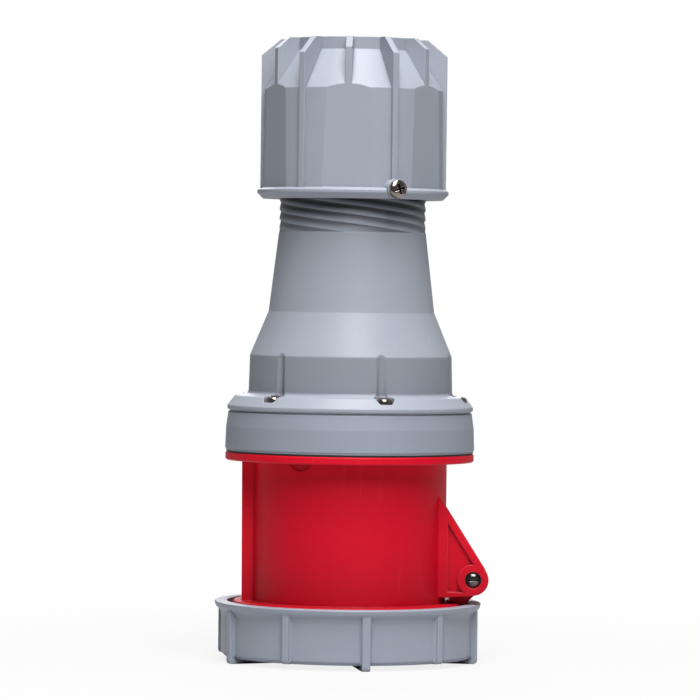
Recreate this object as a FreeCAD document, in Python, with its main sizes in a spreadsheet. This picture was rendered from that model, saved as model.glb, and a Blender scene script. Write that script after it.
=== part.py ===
# Industrial cable coupler: a five-pole connector for heavy portable supply, with
# a screwed cable gland at the top, a red front housing and a hinged lid at the
# bottom that a bayonet ring holds shut. It stands on the ribs of that ring.
#
# Frame: +Z runs up the coupler's own axis, from the ribs it stands on (Z = 0) to
# the cable mouth. The lid's hinge is at +X and the key channel at -X.
# Angles are measured about +Z from +X. All lengths are millimetres.
import FreeCAD, Part
import math
import os
from types import SimpleNamespace

import Sketcher
from FreeCAD import Placement, Rotation, Vector

# Driving dimensions, one row of the sheet each
DIMENSIONS = {
    # Clearances
    "face_gap": 0.3,
    "side_gap": 0.3,
    "seal_gap": 0.3,
    "fit_gap": 0.05,
    "screw_gap": 0.15,
    # Locking ring
    "foot_rib_depth": 2.6,
    "ring_web": 2.5,
    "ring_height": 27.2,
    "ring_bore_reach": 11.8,
    "ring_wall": 2.7,
    "ring_lip_reach": 3.4,
    "ring_lip_depth": 2.6,
    "ring_cove_depth": 4.2,
    "ring_edge": 1.6,
    "rib_foot_round": 1.4,
    "ring_rib_reach": 2.3,
    "ring_rib_angle": -81.7,
    "ring_rib_count": 5,
    "big_rib_width": 4.0,
    "small_rib_width": 3.5,
    "foot_rib_inner_radius": 31.0,
    "ring_hub_bore_radius": 22.0,
    "ring_lug_reach": 8.0,
    "ring_lug_thickness": 3.5,
    "bayonet_turn": 25.0,
    "bayonet_width": 14.0,
    "bayonet_first_angle": 45.0,
    "bayonet_second_angle": 125.0,
    "ramp_reach": 6.8,
    "ramp_thickness": 4.0,
    "ramp_rise": 1.0,
    "ramp_clearance": 1.5,
    # Lid
    "lid_reach": 5.3,
    "lid_thickness": 4.0,
    "gasket_inner_reach": 1.3,
    "gasket_outer_reach": 1.1,
    "gasket_seat_depth": 2.0,
    "gasket_proud": 1.8,
    "retainer_radius": 27.5,
    "retainer_screw_circle": 12.0,
    "retainer_screw_radius": 2.0,
    "retainer_screw_length": 5.5,
    "retainer_screw_recess": 0.2,
    "retainer_screw_count": 3,
    "arm_half_width": 10.7,
    "arm_thickness": 8.4,
    "arm_web": 2.8,
    "arm_wall_gap": 1.9,
    "knuckle_radius": 6.4,
    "spring_slot_half_width": 6.2,
    "spring_slot_floor": 4.0,
    # Hinge
    "pin_reach": 13.4,
    "pin_z": 42.2,
    "pin_radius": 4.1,
    "pin_end_recess": 0.5,
    "pin_tip_radius": 3.35,
    "pin_tip_length": 2.0,
    "pin_dome": 0.8,
    "pin_slot_width": 1.0,
    "pin_slot_depth": 1.6,
    "lug_width": 8.5,
    "lug_boss_radius": 7.7,
    "lug_floor": 33.4,
    "lug_slope": 32.5,
    "lug_rim": 3.3,
    "lug_foot_rib": 2.7,
    "lug_recess": 2.0,
    "spring_wire_radius": 0.7,
    "spring_clearance": 0.5,
    "spring_turns": 5,
    "spring_pitch": 1.8,
    "spring_wall_angle": 35.0,
    "spring_arm_angle": -40.0,
    # Front housing
    "barrel_radius": 48.7,
    "barrel_wall": 2.7,
    "barrel_length": 88.7,
    "collar_reach": 8.8,
    "collar_thickness": 3.1,
    "collar_rise": 18.6,
    "flange_reach": 13.4,
    "flange_thickness": 4.0,
    "spigot_reach": 1.5,
    "spigot_height": 7.8,
    "key_rise_top": 4.8,
    "key_rise_rim": 4.0,
    "key_half_width": 12.0,
    "key_slot_depth": 5.0,
    "key_slot_half_width": 7.5,
    "shoulder_width": 6.1,
    "shoulder_thickness": 4.0,
    "shoulder_rise": 72.5,
    "mark_radius": 8.2,
    "mark_height": 3.9,
    "mark_depth": 0.7,
    "mark_angle": -119.7,
    # Seal and spacer ring
    "seal_thickness": 1.4,
    "seal_setback": 0.5,
    "spacer_height": 19.6,
    "spacer_top_setback": 1.25,
    "spacer_mid_setback": 0.2,
    "spacer_foot_reach": 0.2,
    "spacer_mid_rise": 11.4,
    "spacer_step": 0.9,
    "spacer_step_setback": 1.9,
    "spacer_wall": 3.0,
    "spacer_boss_radius": 4.6,
    # Rear housing
    "lip_setback": 0.7,
    "lip_height": 2.2,
    "flange_bevel_setback": 4.6,
    "flange_bevel_rise": 7.2,
    "flange_rise": 8.8,
    "wall_foot_setback": 11.2,
    "wall_top_setback": 11.7,
    "wall_rise": 27.4,
    "shoulder_cone_share": 0.343,
    "shoulder_cone_rise": 49.2,
    "neck_cone_reach": 1.2,
    "neck_cone_rise": 88.8,
    "neck_radius": 35.5,
    "neck_rise": 136.8,
    "neck_shoulder": 1.2,
    "housing_wall": 3.3,
    "throat_radius": 29.0,
    "throat_length": 36.8,
    "seal_pocket_radius": 31.0,
    "seal_pocket_depth": 22.0,
    # Flange screws and their nuts
    "screw_circle_setback": 6.85,
    "screw_first_angle": -72.6,
    "flange_screw_count": 6,
    "screw_head_radius": 3.95,
    "screw_head_height": 3.6,
    "screw_shank_radius": 2.0,
    "screw_seat_rise": 4.5,
    "screw_access_radius": 5.1,
    "insert_radius": 3.5,
    "insert_length": 3.8,
    "cross_width": 1.0,
    "cross_depth": 1.3,
    # Contacts and their carrier
    "carrier_recess": 4.0,
    "carrier_flange": 4.5,
    "block_lip_reach": 1.0,
    "block_lip_height": 2.5,
    "carrier_boss_setback": 1.4,
    "carrier_boss_height": 3.5,
    "carrier_screw_setback": 3.1,
    "carrier_screw_radius": 1.5,
    "carrier_screw_head": 2.8,
    "carrier_screw_count": 4,
    "cover_thickness": 4.0,
    "cover_setback": 1.6,
    "cover_screw_setback": 7.4,
    "cover_screw_radius": 1.75,
    "cover_screw_head": 3.1,
    "cover_screw_length": 12.0,
    "cover_screw_count": 5,
    "contact_circle": 24.0,
    "contact_recess": 4.0,
    "contact_depth": 40.0,
    "contact_bore_radius": 5.0,
    "contact_wall": 1.5,
    "earth_bore_radius": 6.0,
    "pilot_bore_radius": 3.0,
    "pilot_wall": 1.2,
    "collar_step": 3.0,
    "contact_collar": 4.0,
    "head_step": 2.0,
    "head_height": 34.0,
    "wire_hole_depth": 28.0,
    "head_wall": 3.0,
    "slit_width": 0.9,
    "slit_length": 26.0,
    "set_screw_radius": 2.5,
    "set_screw_length": 6.0,
    "set_screw_proud": 1.2,
    "set_screw_low": 11.0,
    "set_screw_high": 22.0,
    # Gland
    "nut_rise": 16.6,
    "nut_flange_radius": 47.8,
    "nut_foot_radius": 45.0,
    "nut_bevel_height": 2.8,
    "nut_flange_height": 5.3,
    "nut_wall_low_radius": 44.9,
    "nut_wall_top_radius": 44.4,
    "nut_wall_over_neck": 23.0,
    "nut_collar_radius": 31.35,
    "nut_cone_height": 19.4,
    "nut_collar_height": 6.1,
    "nut_bore_radius": 37.0,
    "nut_mouth_radius": 27.0,
    "nut_flat_distance": 43.1,
    "nut_flat_angle": -93.8,
    "nut_flat_half_width": 13.0,
    "nut_rib_angle": -63.8,
    "nut_rib_count": 6,
    "long_rib_width": 3.15,
    "long_rib_radius": 46.4,
    "short_rib_width": 3.3,
    "rib_top_setback": 6.6,
    "rib_bevel_drop": 8.3,
    "lock_screw_rise": 4.7,
    "lock_boss_radius": 4.9,
    "lock_boss_reach": 49.2,
    "lock_head_radius": 4.6,
    "lock_head_height": 3.1,
    "lock_shank_radius": 2.4,
    "lock_cross_width": 1.2,
    "lock_cross_depth": 1.6,
    # Clamping parts inside the nut
    "cage_ring_radius": 36.3,
    "cage_ring_height": 4.0,
    "finger_foot_radius": 33.3,
    "finger_tip_radius": 30.0,
    "finger_length": 31.4,
    "finger_bore_radius": 27.2,
    "finger_slot": 3.0,
    "finger_count": 8,
    "nut_cone_gap": 1.0,
    "pressure_ring_thickness": 3.0,
    "pressure_ring_radius": 30.7,
    "pressure_ring_bore": 27.3,
    "cable_seal_bore_radius": 23.0,
    "cable_seal_side_gap": 0.3,
}

doc = FreeCAD.newDocument("cable_coupler")
sheet = doc.addObject("Spreadsheet::Sheet", "sizes")


class Size:
    """A number together with the expression that gives it from the sheet."""

    def __init__(self, value, text):
        self.value = value
        self.text = text

    def __add__(self, other):
        other = sized(other)
        return Size(self.value + other.value, f"({self.text} + {other.text})")

    def __radd__(self, other):
        return sized(other) + self

    def __sub__(self, other):
        other = sized(other)
        return Size(self.value - other.value, f"({self.text} - {other.text})")

    def __rsub__(self, other):
        return sized(other) - self

    def __mul__(self, other):
        other = sized(other)
        return Size(self.value * other.value, f"({self.text} * {other.text})")

    def __rmul__(self, other):
        return sized(other) * self

    def __truediv__(self, other):
        other = sized(other)
        return Size(self.value / other.value, f"({self.text} / {other.text})")

    def __rtruediv__(self, other):
        return sized(other) / self

    def __neg__(self):
        return Size(-self.value, f"(0 - {self.text})")


def sized(number):
    """A plain number as a Size."""
    return number if isinstance(number, Size) else Size(float(number), repr(float(number)))


def cosine(angle):
    angle = sized(angle)
    return Size(math.cos(math.radians(angle.value)), f"cos({angle.text} * 1 deg)")


def sine(angle):
    angle = sized(angle)
    return Size(math.sin(math.radians(angle.value)), f"sin({angle.text} * 1 deg)")


def fill_sheet():
    """Write every driving dimension into the sheet and hand them back as Sizes."""
    named = SimpleNamespace()
    for row, (name, value) in enumerate(DIMENSIONS.items(), start=1):
        sheet.set(f"A{row}", name)
        sheet.set(f"B{row}", str(value))
        sheet.setAlias(f"B{row}", name)
        setattr(named, name, Size(float(value), f"sizes.{name}"))
    doc.recompute()
    return named


d = fill_sheet()

# Levels up the axis, each from the one below it
ring_floor = d.foot_rib_depth
retainer_top = ring_floor - d.face_gap
web_top = ring_floor + d.ring_web
ring_top = ring_floor + d.ring_height
lid_floor = web_top + d.face_gap
lid_top = lid_floor + d.lid_thickness
barrel_rim = lid_top + d.gasket_proud + d.seal_gap
flange_floor = barrel_rim + d.barrel_length
flange_top = flange_floor + d.flange_thickness
seal_top = flange_top + d.seal_thickness
spacer_top = seal_top + d.spacer_height
neck_floor = spacer_top + d.neck_cone_rise
neck_top = spacer_top + d.neck_rise
nut_floor = neck_floor + d.nut_rise
nut_flange_top = nut_floor + d.nut_flange_height
nut_wall_top = neck_top + d.nut_wall_over_neck
nut_cone_top = nut_wall_top + d.nut_cone_height
nut_top = nut_cone_top + d.nut_collar_height
carrier_face = barrel_rim + d.carrier_recess
shoulder_top = barrel_rim + d.shoulder_rise
carrier_flange_top = shoulder_top + d.carrier_flange
carrier_top = carrier_flange_top + d.carrier_boss_height
cover_top = carrier_top + d.cover_thickness
cage_floor = neck_top + d.face_gap
cage_ring_top = cage_floor + d.cage_ring_height
finger_tip = cage_ring_top + d.finger_length
pressure_floor = finger_tip + d.face_gap
pressure_top = pressure_floor + d.pressure_ring_thickness
screw_seat = spacer_top + d.screw_seat_rise

# Radii that follow the barrel, from the inside out
barrel_bore = d.barrel_radius - d.barrel_wall
d.shoulder_radius = barrel_bore - d.shoulder_width
d.carrier_screw_circle = barrel_bore - d.carrier_screw_setback
d.carrier_boss_radius = d.shoulder_radius - d.carrier_boss_setback
d.cover_radius = d.shoulder_radius - d.cover_setback
d.cover_screw_circle = d.shoulder_radius - d.cover_screw_setback
d.key_slot_reach = barrel_bore + d.key_slot_depth
d.gasket_inner_radius = barrel_bore - d.gasket_inner_reach
d.gasket_outer_radius = d.barrel_radius + d.gasket_outer_reach
d.spigot_radius = d.barrel_radius + d.spigot_reach
d.key_reach_top = d.barrel_radius + d.key_rise_top
d.key_reach_rim = d.barrel_radius + d.key_rise_rim
d.lid_radius = d.barrel_radius + d.lid_reach
d.ramp_radius = d.barrel_radius + d.ramp_reach
d.collar_radius = d.barrel_radius + d.collar_reach
d.pin_x = d.barrel_radius + d.pin_reach
d.ring_bore_radius = d.barrel_radius + d.ring_bore_reach
d.ring_lip_radius = d.ring_bore_radius + d.ring_wall + d.ring_lip_reach
d.ring_rib_radius = d.ring_bore_radius + d.ring_wall + d.ring_rib_reach
d.flange_radius = d.barrel_radius + d.flange_reach

# Radii that follow the flange, and the rear housing's cones between it and the neck
d.seal_radius = d.flange_radius - d.seal_setback
d.spacer_foot_radius = d.flange_radius + d.spacer_foot_reach
d.spacer_mid_radius = d.flange_radius - d.spacer_mid_setback
d.spacer_top_radius = d.flange_radius - d.spacer_top_setback
d.spacer_step_radius = d.flange_radius - d.spacer_step_setback
d.lip_radius = d.flange_radius - d.lip_setback
d.flange_bevel_radius = d.flange_radius - d.flange_bevel_setback
d.screw_circle = d.flange_radius - d.screw_circle_setback
d.wall_foot_radius = d.flange_radius - d.wall_foot_setback
d.wall_top_radius = d.flange_radius - d.wall_top_setback
d.neck_cone_radius = d.neck_radius + d.neck_cone_reach
d.shoulder_cone_radius = (
    d.neck_cone_radius + (d.wall_top_radius - d.neck_cone_radius) * d.shoulder_cone_share
)

# Radii that several pieces share
rib_top_radius = d.nut_flat_distance - d.rib_top_setback
block_radius = d.shoulder_radius - d.side_gap
block_lip_radius = block_radius + d.block_lip_reach
block_lip_floor = carrier_flange_top - d.block_lip_height
lug_half_span = d.arm_half_width + d.side_gap + d.lug_width
pin_hole_radius = d.pin_radius + d.fit_gap
hub_radius = d.ring_hub_bore_radius - d.side_gap
arm_left = d.barrel_radius + d.arm_wall_gap
arm_right = arm_left + d.arm_thickness
clear_of_barrel = d.barrel_radius + d.arm_wall_gap / 4


def origin_plane(body, role):
    return next(f for f in body.Origin.OriginFeatures if f.Role == role)


def new_body(name):
    body = doc.addObject("PartDesign::Body", name)
    body.Label = name
    return body


def start_sketch(body, name, plane, lift=None, turn=None):
    """A sketch on one of the body's own planes, moved along its normal or turned about +Z."""
    sketch = body.newObject("Sketcher::SketchObject", name)
    sketch.AttachmentSupport = [(origin_plane(body, plane), "")]
    sketch.MapMode = "FlatFace"
    lift = sized(0 if lift is None else lift)
    turn = sized(0 if turn is None else turn)
    aside, along = lift * sine(turn), lift * cosine(turn)
    base = Vector(aside.value, 0, along.value)
    sketch.AttachmentOffset = Placement(base, Rotation(Vector(0, 1, 0), turn.value))
    sketch.setExpression("AttachmentOffset.Rotation.Angle", turn.text)
    sketch.setExpression("AttachmentOffset.Base.x", aside.text)
    sketch.setExpression("AttachmentOffset.Base.z", along.text)
    return sketch


def fix_point(sketch, element, end, x, y):
    """Hold one point of the sketch by its two coordinates from the sheet."""
    for kind, size in (("DistanceX", x), ("DistanceY", y)):
        index = sketch.addConstraint(Sketcher.Constraint(kind, -1, 1, element, end, size.value))
        sketch.setExpression(f"Constraints[{index}]", size.text)


def outline(body, name, plane, corners, lift=None, turn=None):
    """A closed outline of straight edges through the corners."""
    sketch = start_sketch(body, name, plane, lift, turn)
    points = [(sized(x), sized(y)) for x, y in corners]
    count = len(points)
    for k in range(count):
        start, end = points[k], points[(k + 1) % count]
        line = Part.LineSegment(
            Vector(start[0].value, start[1].value, 0), Vector(end[0].value, end[1].value, 0)
        )
        sketch.addGeometry(line)
    for k in range(count):
        sketch.addConstraint(Sketcher.Constraint("Coincident", k, 2, (k + 1) % count, 1))
    for k, (x, y) in enumerate(points):
        fix_point(sketch, k, 1, x, y)
    return sketch


def circles(body, name, plane, rounds, lift=None, turn=None):
    """Circles, each given by its centre and radius."""
    sketch = start_sketch(body, name, plane, lift, turn)
    for k, (x, y, radius) in enumerate(rounds):
        x, y, radius = sized(x), sized(y), sized(radius)
        sketch.addGeometry(Part.Circle(Vector(x.value, y.value, 0), Vector(0, 0, 1), radius.value))
        fix_point(sketch, k, 3, x, y)
        index = sketch.addConstraint(Sketcher.Constraint("Radius", k, radius.value))
        sketch.setExpression(f"Constraints[{index}]", radius.text)
    return sketch


def revolve(body, name, corners, turn=None, angle=None):
    """Turn an outline of (radius, height) corners about the body's vertical axis."""
    sketch = outline(body, name + "_outline", "XZ_Plane", corners, turn=turn)
    feature = body.newObject("PartDesign::Revolution", name)
    feature.Profile = sketch
    feature.ReferenceAxis = (sketch, ["V_Axis"])
    feature.Angle = 360
    if angle is not None:
        feature.Midplane = True
        feature.setExpression("Angle", angle.text)
    return feature


def groove(body, name, corners):
    """Cut away an outline of (radius, height) corners turned about the vertical axis."""
    feature = body.newObject("PartDesign::Groove", name)
    sketch = outline(body, name + "_outline", "XZ_Plane", corners)
    feature.Profile = sketch
    feature.ReferenceAxis = (sketch, ["V_Axis"])
    feature.Angle = 360
    return feature


def pad(body, name, sketch, length, middle=False, reverse=False):
    """Add the sketch's area as a solid of the given length."""
    feature = body.newObject("PartDesign::Pad", name)
    feature.Profile = sketch
    feature.setExpression("Length", sized(length).text)
    feature.Midplane = middle
    feature.Reversed = reverse
    return feature


def cut(body, name, sketch, length, middle=False, reverse=False):
    """Cut the sketch's area away over the given length; plain cuts go down or away from +Z."""
    feature = body.newObject("PartDesign::Pocket", name)
    feature.Profile = sketch
    feature.setExpression("Length", sized(length).text)
    feature.Midplane = middle
    feature.Reversed = reverse
    return feature


def around(body, feature, count, angle=360.0):
    """Repeat a feature about the vertical axis."""
    pattern = body.newObject("PartDesign::PolarPattern", feature.Name + "_pattern")
    pattern.Originals = [feature]
    pattern.Axis = (origin_plane(body, "Z_Axis"), [""])
    pattern.Angle = angle
    if isinstance(count, Size):
        pattern.setExpression("Occurrences", count.text)
    else:
        pattern.Occurrences = count
    body.Tip = pattern
    return pattern


def place(body, x=0.0, y=0.0, z=0.0, axis=None, angle=None):
    """Set a body down in the coupler's frame, bound to the sheet."""
    x, y, z = sized(x), sized(y), sized(z)
    turned = Rotation(axis, sized(angle).value) if axis is not None else Rotation()
    body.Placement = Placement(Vector(x.value, y.value, z.value), turned)
    for way, size in (("x", x), ("y", y), ("z", z)):
        body.setExpression(f"Placement.Base.{way}", size.text)


def hidden_master(body):
    """A body that only serves as the pattern of a group has no file of its own."""
    MASTERS.append(body.Name)
    return body


def group(name, master, placements):
    """Like pieces in one sub-part: the master's shape at each placement, as separate solids."""
    doc.recompute()
    copies = []
    for spot in placements:
        copy = master.Shape.copy()
        copy.Placement = spot.multiply(master.Placement)
        copies.append(copy)
    feature = doc.addObject("Part::Feature", name)
    feature.Label = name
    feature.Shape = Part.makeCompound(copies)
    feature.Placement = Placement()
    return feature


def turned_about_axis(count, first=0.0):
    """Placements evenly spaced about the coupler's axis."""
    step = 360.0 / count
    return [Placement(Vector(), Rotation(Vector(0, 0, 1), first + step * k)) for k in range(count)]


MASTERS = []


def cross_recess(body, name, top, width, reach, depth):
    """The cross-shaped driver recess in a screw head whose top is at the given height."""
    half = width / 2
    slot = outline(
        body,
        name + "_outline",
        "XY_Plane",
        [(-reach, -half), (reach, -half), (reach, half), (-reach, half)],
        lift=top,
    )
    feature = cut(body, name, slot, depth)
    around(body, feature, 2, 180.0)


def pan_screw(name, head_radius, head_height, shank_radius, length, recess_width, recess_depth):
    """A pan head screw standing on Z = 0 under its head, its shank pointing down."""
    body = new_body(name)
    crown = head_height * 0.45
    revolve(
        body,
        name + "_turned",
        [
            (0, -length),
            (shank_radius * 0.7, -length),
            (shank_radius, 0.8 - length),
            (shank_radius, 0),
            (head_radius, 0),
            (head_radius, crown),
            (head_radius * 0.88, head_height * 0.8),
            (head_radius * 0.55, head_height),
            (0, head_height),
        ],
    )
    cross_recess(body, name + "_cross", head_height, recess_width, head_radius * 0.55, recess_depth)
    return hidden_master(body)


def ring_ribs(body, name, turn, floor, width, inner=None):
    """Ribs up the outside of the locking ring; those with an inner radius run on under it."""
    back = d.ring_bore_radius + d.ring_wall / 2
    under_lip = ring_top - d.ring_lip_depth / 2
    corners = [
        (back, under_lip),
        (d.ring_rib_radius, under_lip),
        (d.ring_rib_radius, floor + d.rib_foot_round),
        (d.ring_rib_radius - d.rib_foot_round * 0.3, floor + d.rib_foot_round * 0.3),
        (d.ring_rib_radius - d.rib_foot_round, floor),
    ]
    if inner is None:
        corners += [(back, floor)]
    else:
        corners += [(inner, floor), (inner, ring_floor + 1.0), (back, ring_floor + 1.0)]
    sketch = outline(body, name + "_outline", "XZ_Plane", corners, turn=turn)
    around(body, pad(body, name, sketch, width, middle=True), d.ring_rib_count)


def locking_ring():
    """The bayonet ring: a shallow cup with ten outer ribs and four inner lugs."""
    body = new_body("locking_ring")
    outer = d.ring_bore_radius + d.ring_wall
    lip_floor = ring_top - d.ring_lip_depth
    revolve(
        body,
        "ring_cup",
        [
            (d.ring_hub_bore_radius, ring_floor),
            (outer - d.ring_edge, ring_floor),
            (outer, ring_floor + d.ring_edge),
            (outer, lip_floor - d.ring_cove_depth),
            (outer + 0.5, lip_floor - d.ring_cove_depth / 2),
            (d.ring_lip_radius - 0.6, lip_floor),
            (d.ring_lip_radius, ring_top - 0.5),
            (d.ring_lip_radius - 0.5, ring_top),
            (d.ring_bore_radius, ring_top),
            (d.ring_bore_radius, web_top),
            (d.ring_hub_bore_radius, web_top),
        ],
    )
    under = d.foot_rib_inner_radius
    ring_ribs(body, "foot_rib", d.ring_rib_angle, sized(0), d.big_rib_width, under)
    between = d.ring_rib_angle + 180.0 / d.ring_rib_count
    ring_ribs(body, "side_rib", between, ring_floor, d.small_rib_width)
    lug_floor = barrel_rim + d.ramp_rise + d.ramp_thickness + d.ramp_clearance
    for name, angle in (("lug_a", d.bayonet_first_angle), ("lug_b", d.bayonet_second_angle)):
        tip = d.ring_bore_radius - d.ring_lug_reach
        root = d.ring_bore_radius + d.ring_wall / 2
        lug_top = lug_floor + d.ring_lug_thickness
        corners = [(tip, lug_floor), (root, lug_floor), (root, lug_top), (tip, lug_top)]
        lug = revolve(body, name, corners, turn=angle, angle=d.bayonet_width)
        around(body, lug, 2)
    return body


def ring_retainer():
    """The disc under the ring's web that keeps the ring on the lid's hub."""
    body = new_body("ring_retainer")
    revolve(
        body,
        "retainer_disc",
        [
            (0, 0),
            (d.retainer_radius - 0.5, 0),
            (d.retainer_radius, 0.5),
            (d.retainer_radius, retainer_top),
            (0, retainer_top),
        ],
    )
    hole = circles(
        body,
        "retainer_hole_outline",
        "XY_Plane",
        [(d.retainer_screw_circle, 0, d.retainer_screw_radius + d.screw_gap)],
        lift=retainer_top,
    )
    around(body, cut(body, "retainer_hole", hole, retainer_top), d.retainer_screw_count)
    return body


def retainer_screws():
    """Countersunk screws that hold the retainer disc to the lid's hub."""
    body = hidden_master(new_body("retainer_screw_master"))
    shank = d.retainer_screw_radius
    foot = d.retainer_screw_recess
    revolve(
        body,
        "retainer_screw_turned",
        [
            (0, foot),
            (shank, foot),
            (shank, d.retainer_screw_length),
            (0, d.retainer_screw_length),
        ],
    )
    slot = outline(
        body,
        "retainer_slot_outline",
        "XY_Plane",
        [(-shank, -0.3), (shank, -0.3), (shank, 0.3), (-shank, 0.3)],
        lift=foot,
    )
    cut(body, "retainer_slot", slot, 0.8, reverse=True)
    place(body, x=d.retainer_screw_circle)
    return group("retainer_screws", body, turned_about_axis(DIMENSIONS["retainer_screw_count"]))


def lid():
    """The red lid: a disc with a gasket seat, a hub for the ring and a forked hinge arm."""
    body = new_body("lid")
    hub_floor = retainer_top
    seat = lid_top - d.gasket_seat_depth
    inner = d.gasket_inner_radius - d.fit_gap
    outer = d.gasket_outer_radius + d.fit_gap
    revolve(
        body,
        "lid_disc",
        [
            (0, hub_floor),
            (hub_radius, hub_floor),
            (hub_radius, lid_floor),
            (d.lid_radius - 0.8, lid_floor),
            (d.lid_radius, lid_floor + 0.8),
            (d.lid_radius, lid_top),
            (outer, lid_top),
            (outer, seat),
            (inner, seat),
            (inner, lid_top),
            (0, lid_top),
        ],
    )
    arm_shoulder = ring_top + d.face_gap
    knuckle = d.knuckle_radius
    diagonal = knuckle * math.sqrt(0.5)
    arm = outline(
        body,
        "arm_outline",
        "XZ_Plane",
        [
            (outer + 0.4, lid_floor),
            (arm_right, lid_floor),
            (arm_right, arm_shoulder),
            (d.pin_x + diagonal, d.pin_z - diagonal),
            (d.pin_x, d.pin_z),
            (d.pin_x - diagonal, d.pin_z + diagonal),
            (arm_left + 0.6, d.pin_z - knuckle),
            (arm_left, arm_shoulder),
            (arm_left, lid_top),
            (outer + 0.4, lid_top),
        ],
    )
    pad(body, "arm", arm, d.arm_half_width * 2, middle=True)
    boss = circles(body, "knuckle_outline", "XZ_Plane", [(d.pin_x, d.pin_z, knuckle)])
    pad(body, "knuckle", boss, d.arm_half_width * 2, middle=True)
    web = arm_left + d.arm_web
    slot = outline(
        body,
        "spring_slot_outline",
        "XZ_Plane",
        [
            (web, lid_top + d.spring_slot_floor),
            (d.pin_x + knuckle * 2, lid_top + d.spring_slot_floor),
            (d.pin_x + knuckle * 2, d.pin_z + knuckle * 2),
            (web, d.pin_z + knuckle * 2),
        ],
    )
    cut(body, "spring_slot", slot, d.spring_slot_half_width * 2, middle=True)
    bore = circles(body, "pin_bore_outline", "XZ_Plane", [(d.pin_x, d.pin_z, pin_hole_radius)])
    cut(body, "pin_bore", bore, lug_half_span * 2, middle=True)
    hole = circles(
        body,
        "hub_hole_outline",
        "XY_Plane",
        [(d.retainer_screw_circle, 0, d.retainer_screw_radius + d.fit_gap)],
        lift=hub_floor,
    )
    deep = d.retainer_screw_length - retainer_top + 0.5
    around(body, cut(body, "hub_hole", hole, deep, reverse=True), d.retainer_screw_count)
    return body


def lid_gasket():
    """The rubber ring in the lid that the barrel's rim closes on."""
    body = new_body("lid_gasket")
    seat = lid_top - d.gasket_seat_depth
    top = lid_top + d.gasket_proud
    revolve(
        body,
        "gasket_ring",
        [
            (d.gasket_inner_radius, seat),
            (d.gasket_outer_radius, seat),
            (d.gasket_outer_radius, top - 0.6),
            (d.gasket_outer_radius - 0.8, top),
            (d.gasket_inner_radius + 0.8, top),
            (d.gasket_inner_radius, top - 0.6),
        ],
    )
    return body


def hinge_lugs(body):
    """The two red ears beside the lid's arm, each a ribbed plate with a round boss."""
    slope_x, slope_z = cosine(d.lug_slope), sine(d.lug_slope)
    touch_x = d.pin_x + d.lug_boss_radius * slope_x
    touch_z = d.pin_z + d.lug_boss_radius * slope_z
    root = d.barrel_radius - d.barrel_wall / 2
    apex_z = touch_z + (touch_x - root) * slope_x / slope_z
    ears = outline(
        body,
        "ears_outline",
        "XZ_Plane",
        [
            (root, d.lug_floor),
            (d.pin_x, d.pin_z - d.lug_boss_radius),
            (touch_x, touch_z),
            (root, apex_z),
        ],
    )
    pad(body, "ears", ears, lug_half_span * 2, middle=True)
    inset = d.lug_boss_radius - d.lug_rim
    left = d.barrel_radius + 0.6
    floor = d.lug_floor + d.lug_foot_rib
    inner_x = d.pin_x + inset * slope_x
    inner_z = d.pin_z + inset * slope_z
    corners = [
        (left, floor),
        (d.pin_x, floor),
        (inner_x, inner_z),
        (left, inner_z + (inner_x - left) * slope_x / slope_z),
    ]
    near = outline(body, "near_recess_outline", "XZ_Plane", corners, lift=lug_half_span)
    cut(body, "near_recess", near, d.lug_recess)
    far = outline(body, "far_recess_outline", "XZ_Plane", corners, lift=-lug_half_span)
    cut(body, "far_recess", far, d.lug_recess, reverse=True)
    boss = circles(body, "ear_boss_outline", "XZ_Plane", [(d.pin_x, d.pin_z, d.lug_boss_radius)])
    pad(body, "ear_boss", boss, lug_half_span * 2, middle=True)
    beyond = d.pin_x + d.lug_boss_radius * 2
    above = apex_z + d.lug_rim
    gap = outline(
        body,
        "ear_gap_outline",
        "XZ_Plane",
        [
            (clear_of_barrel, barrel_rim),
            (beyond, barrel_rim),
            (beyond, above),
            (clear_of_barrel, above),
        ],
    )
    cut(body, "ear_gap", gap, (d.arm_half_width + d.side_gap) * 2, middle=True)
    bore = circles(body, "ear_bore_outline", "XZ_Plane", [(d.pin_x, d.pin_z, pin_hole_radius)])
    cut(body, "ear_bore", bore, lug_half_span * 2, middle=True)


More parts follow.
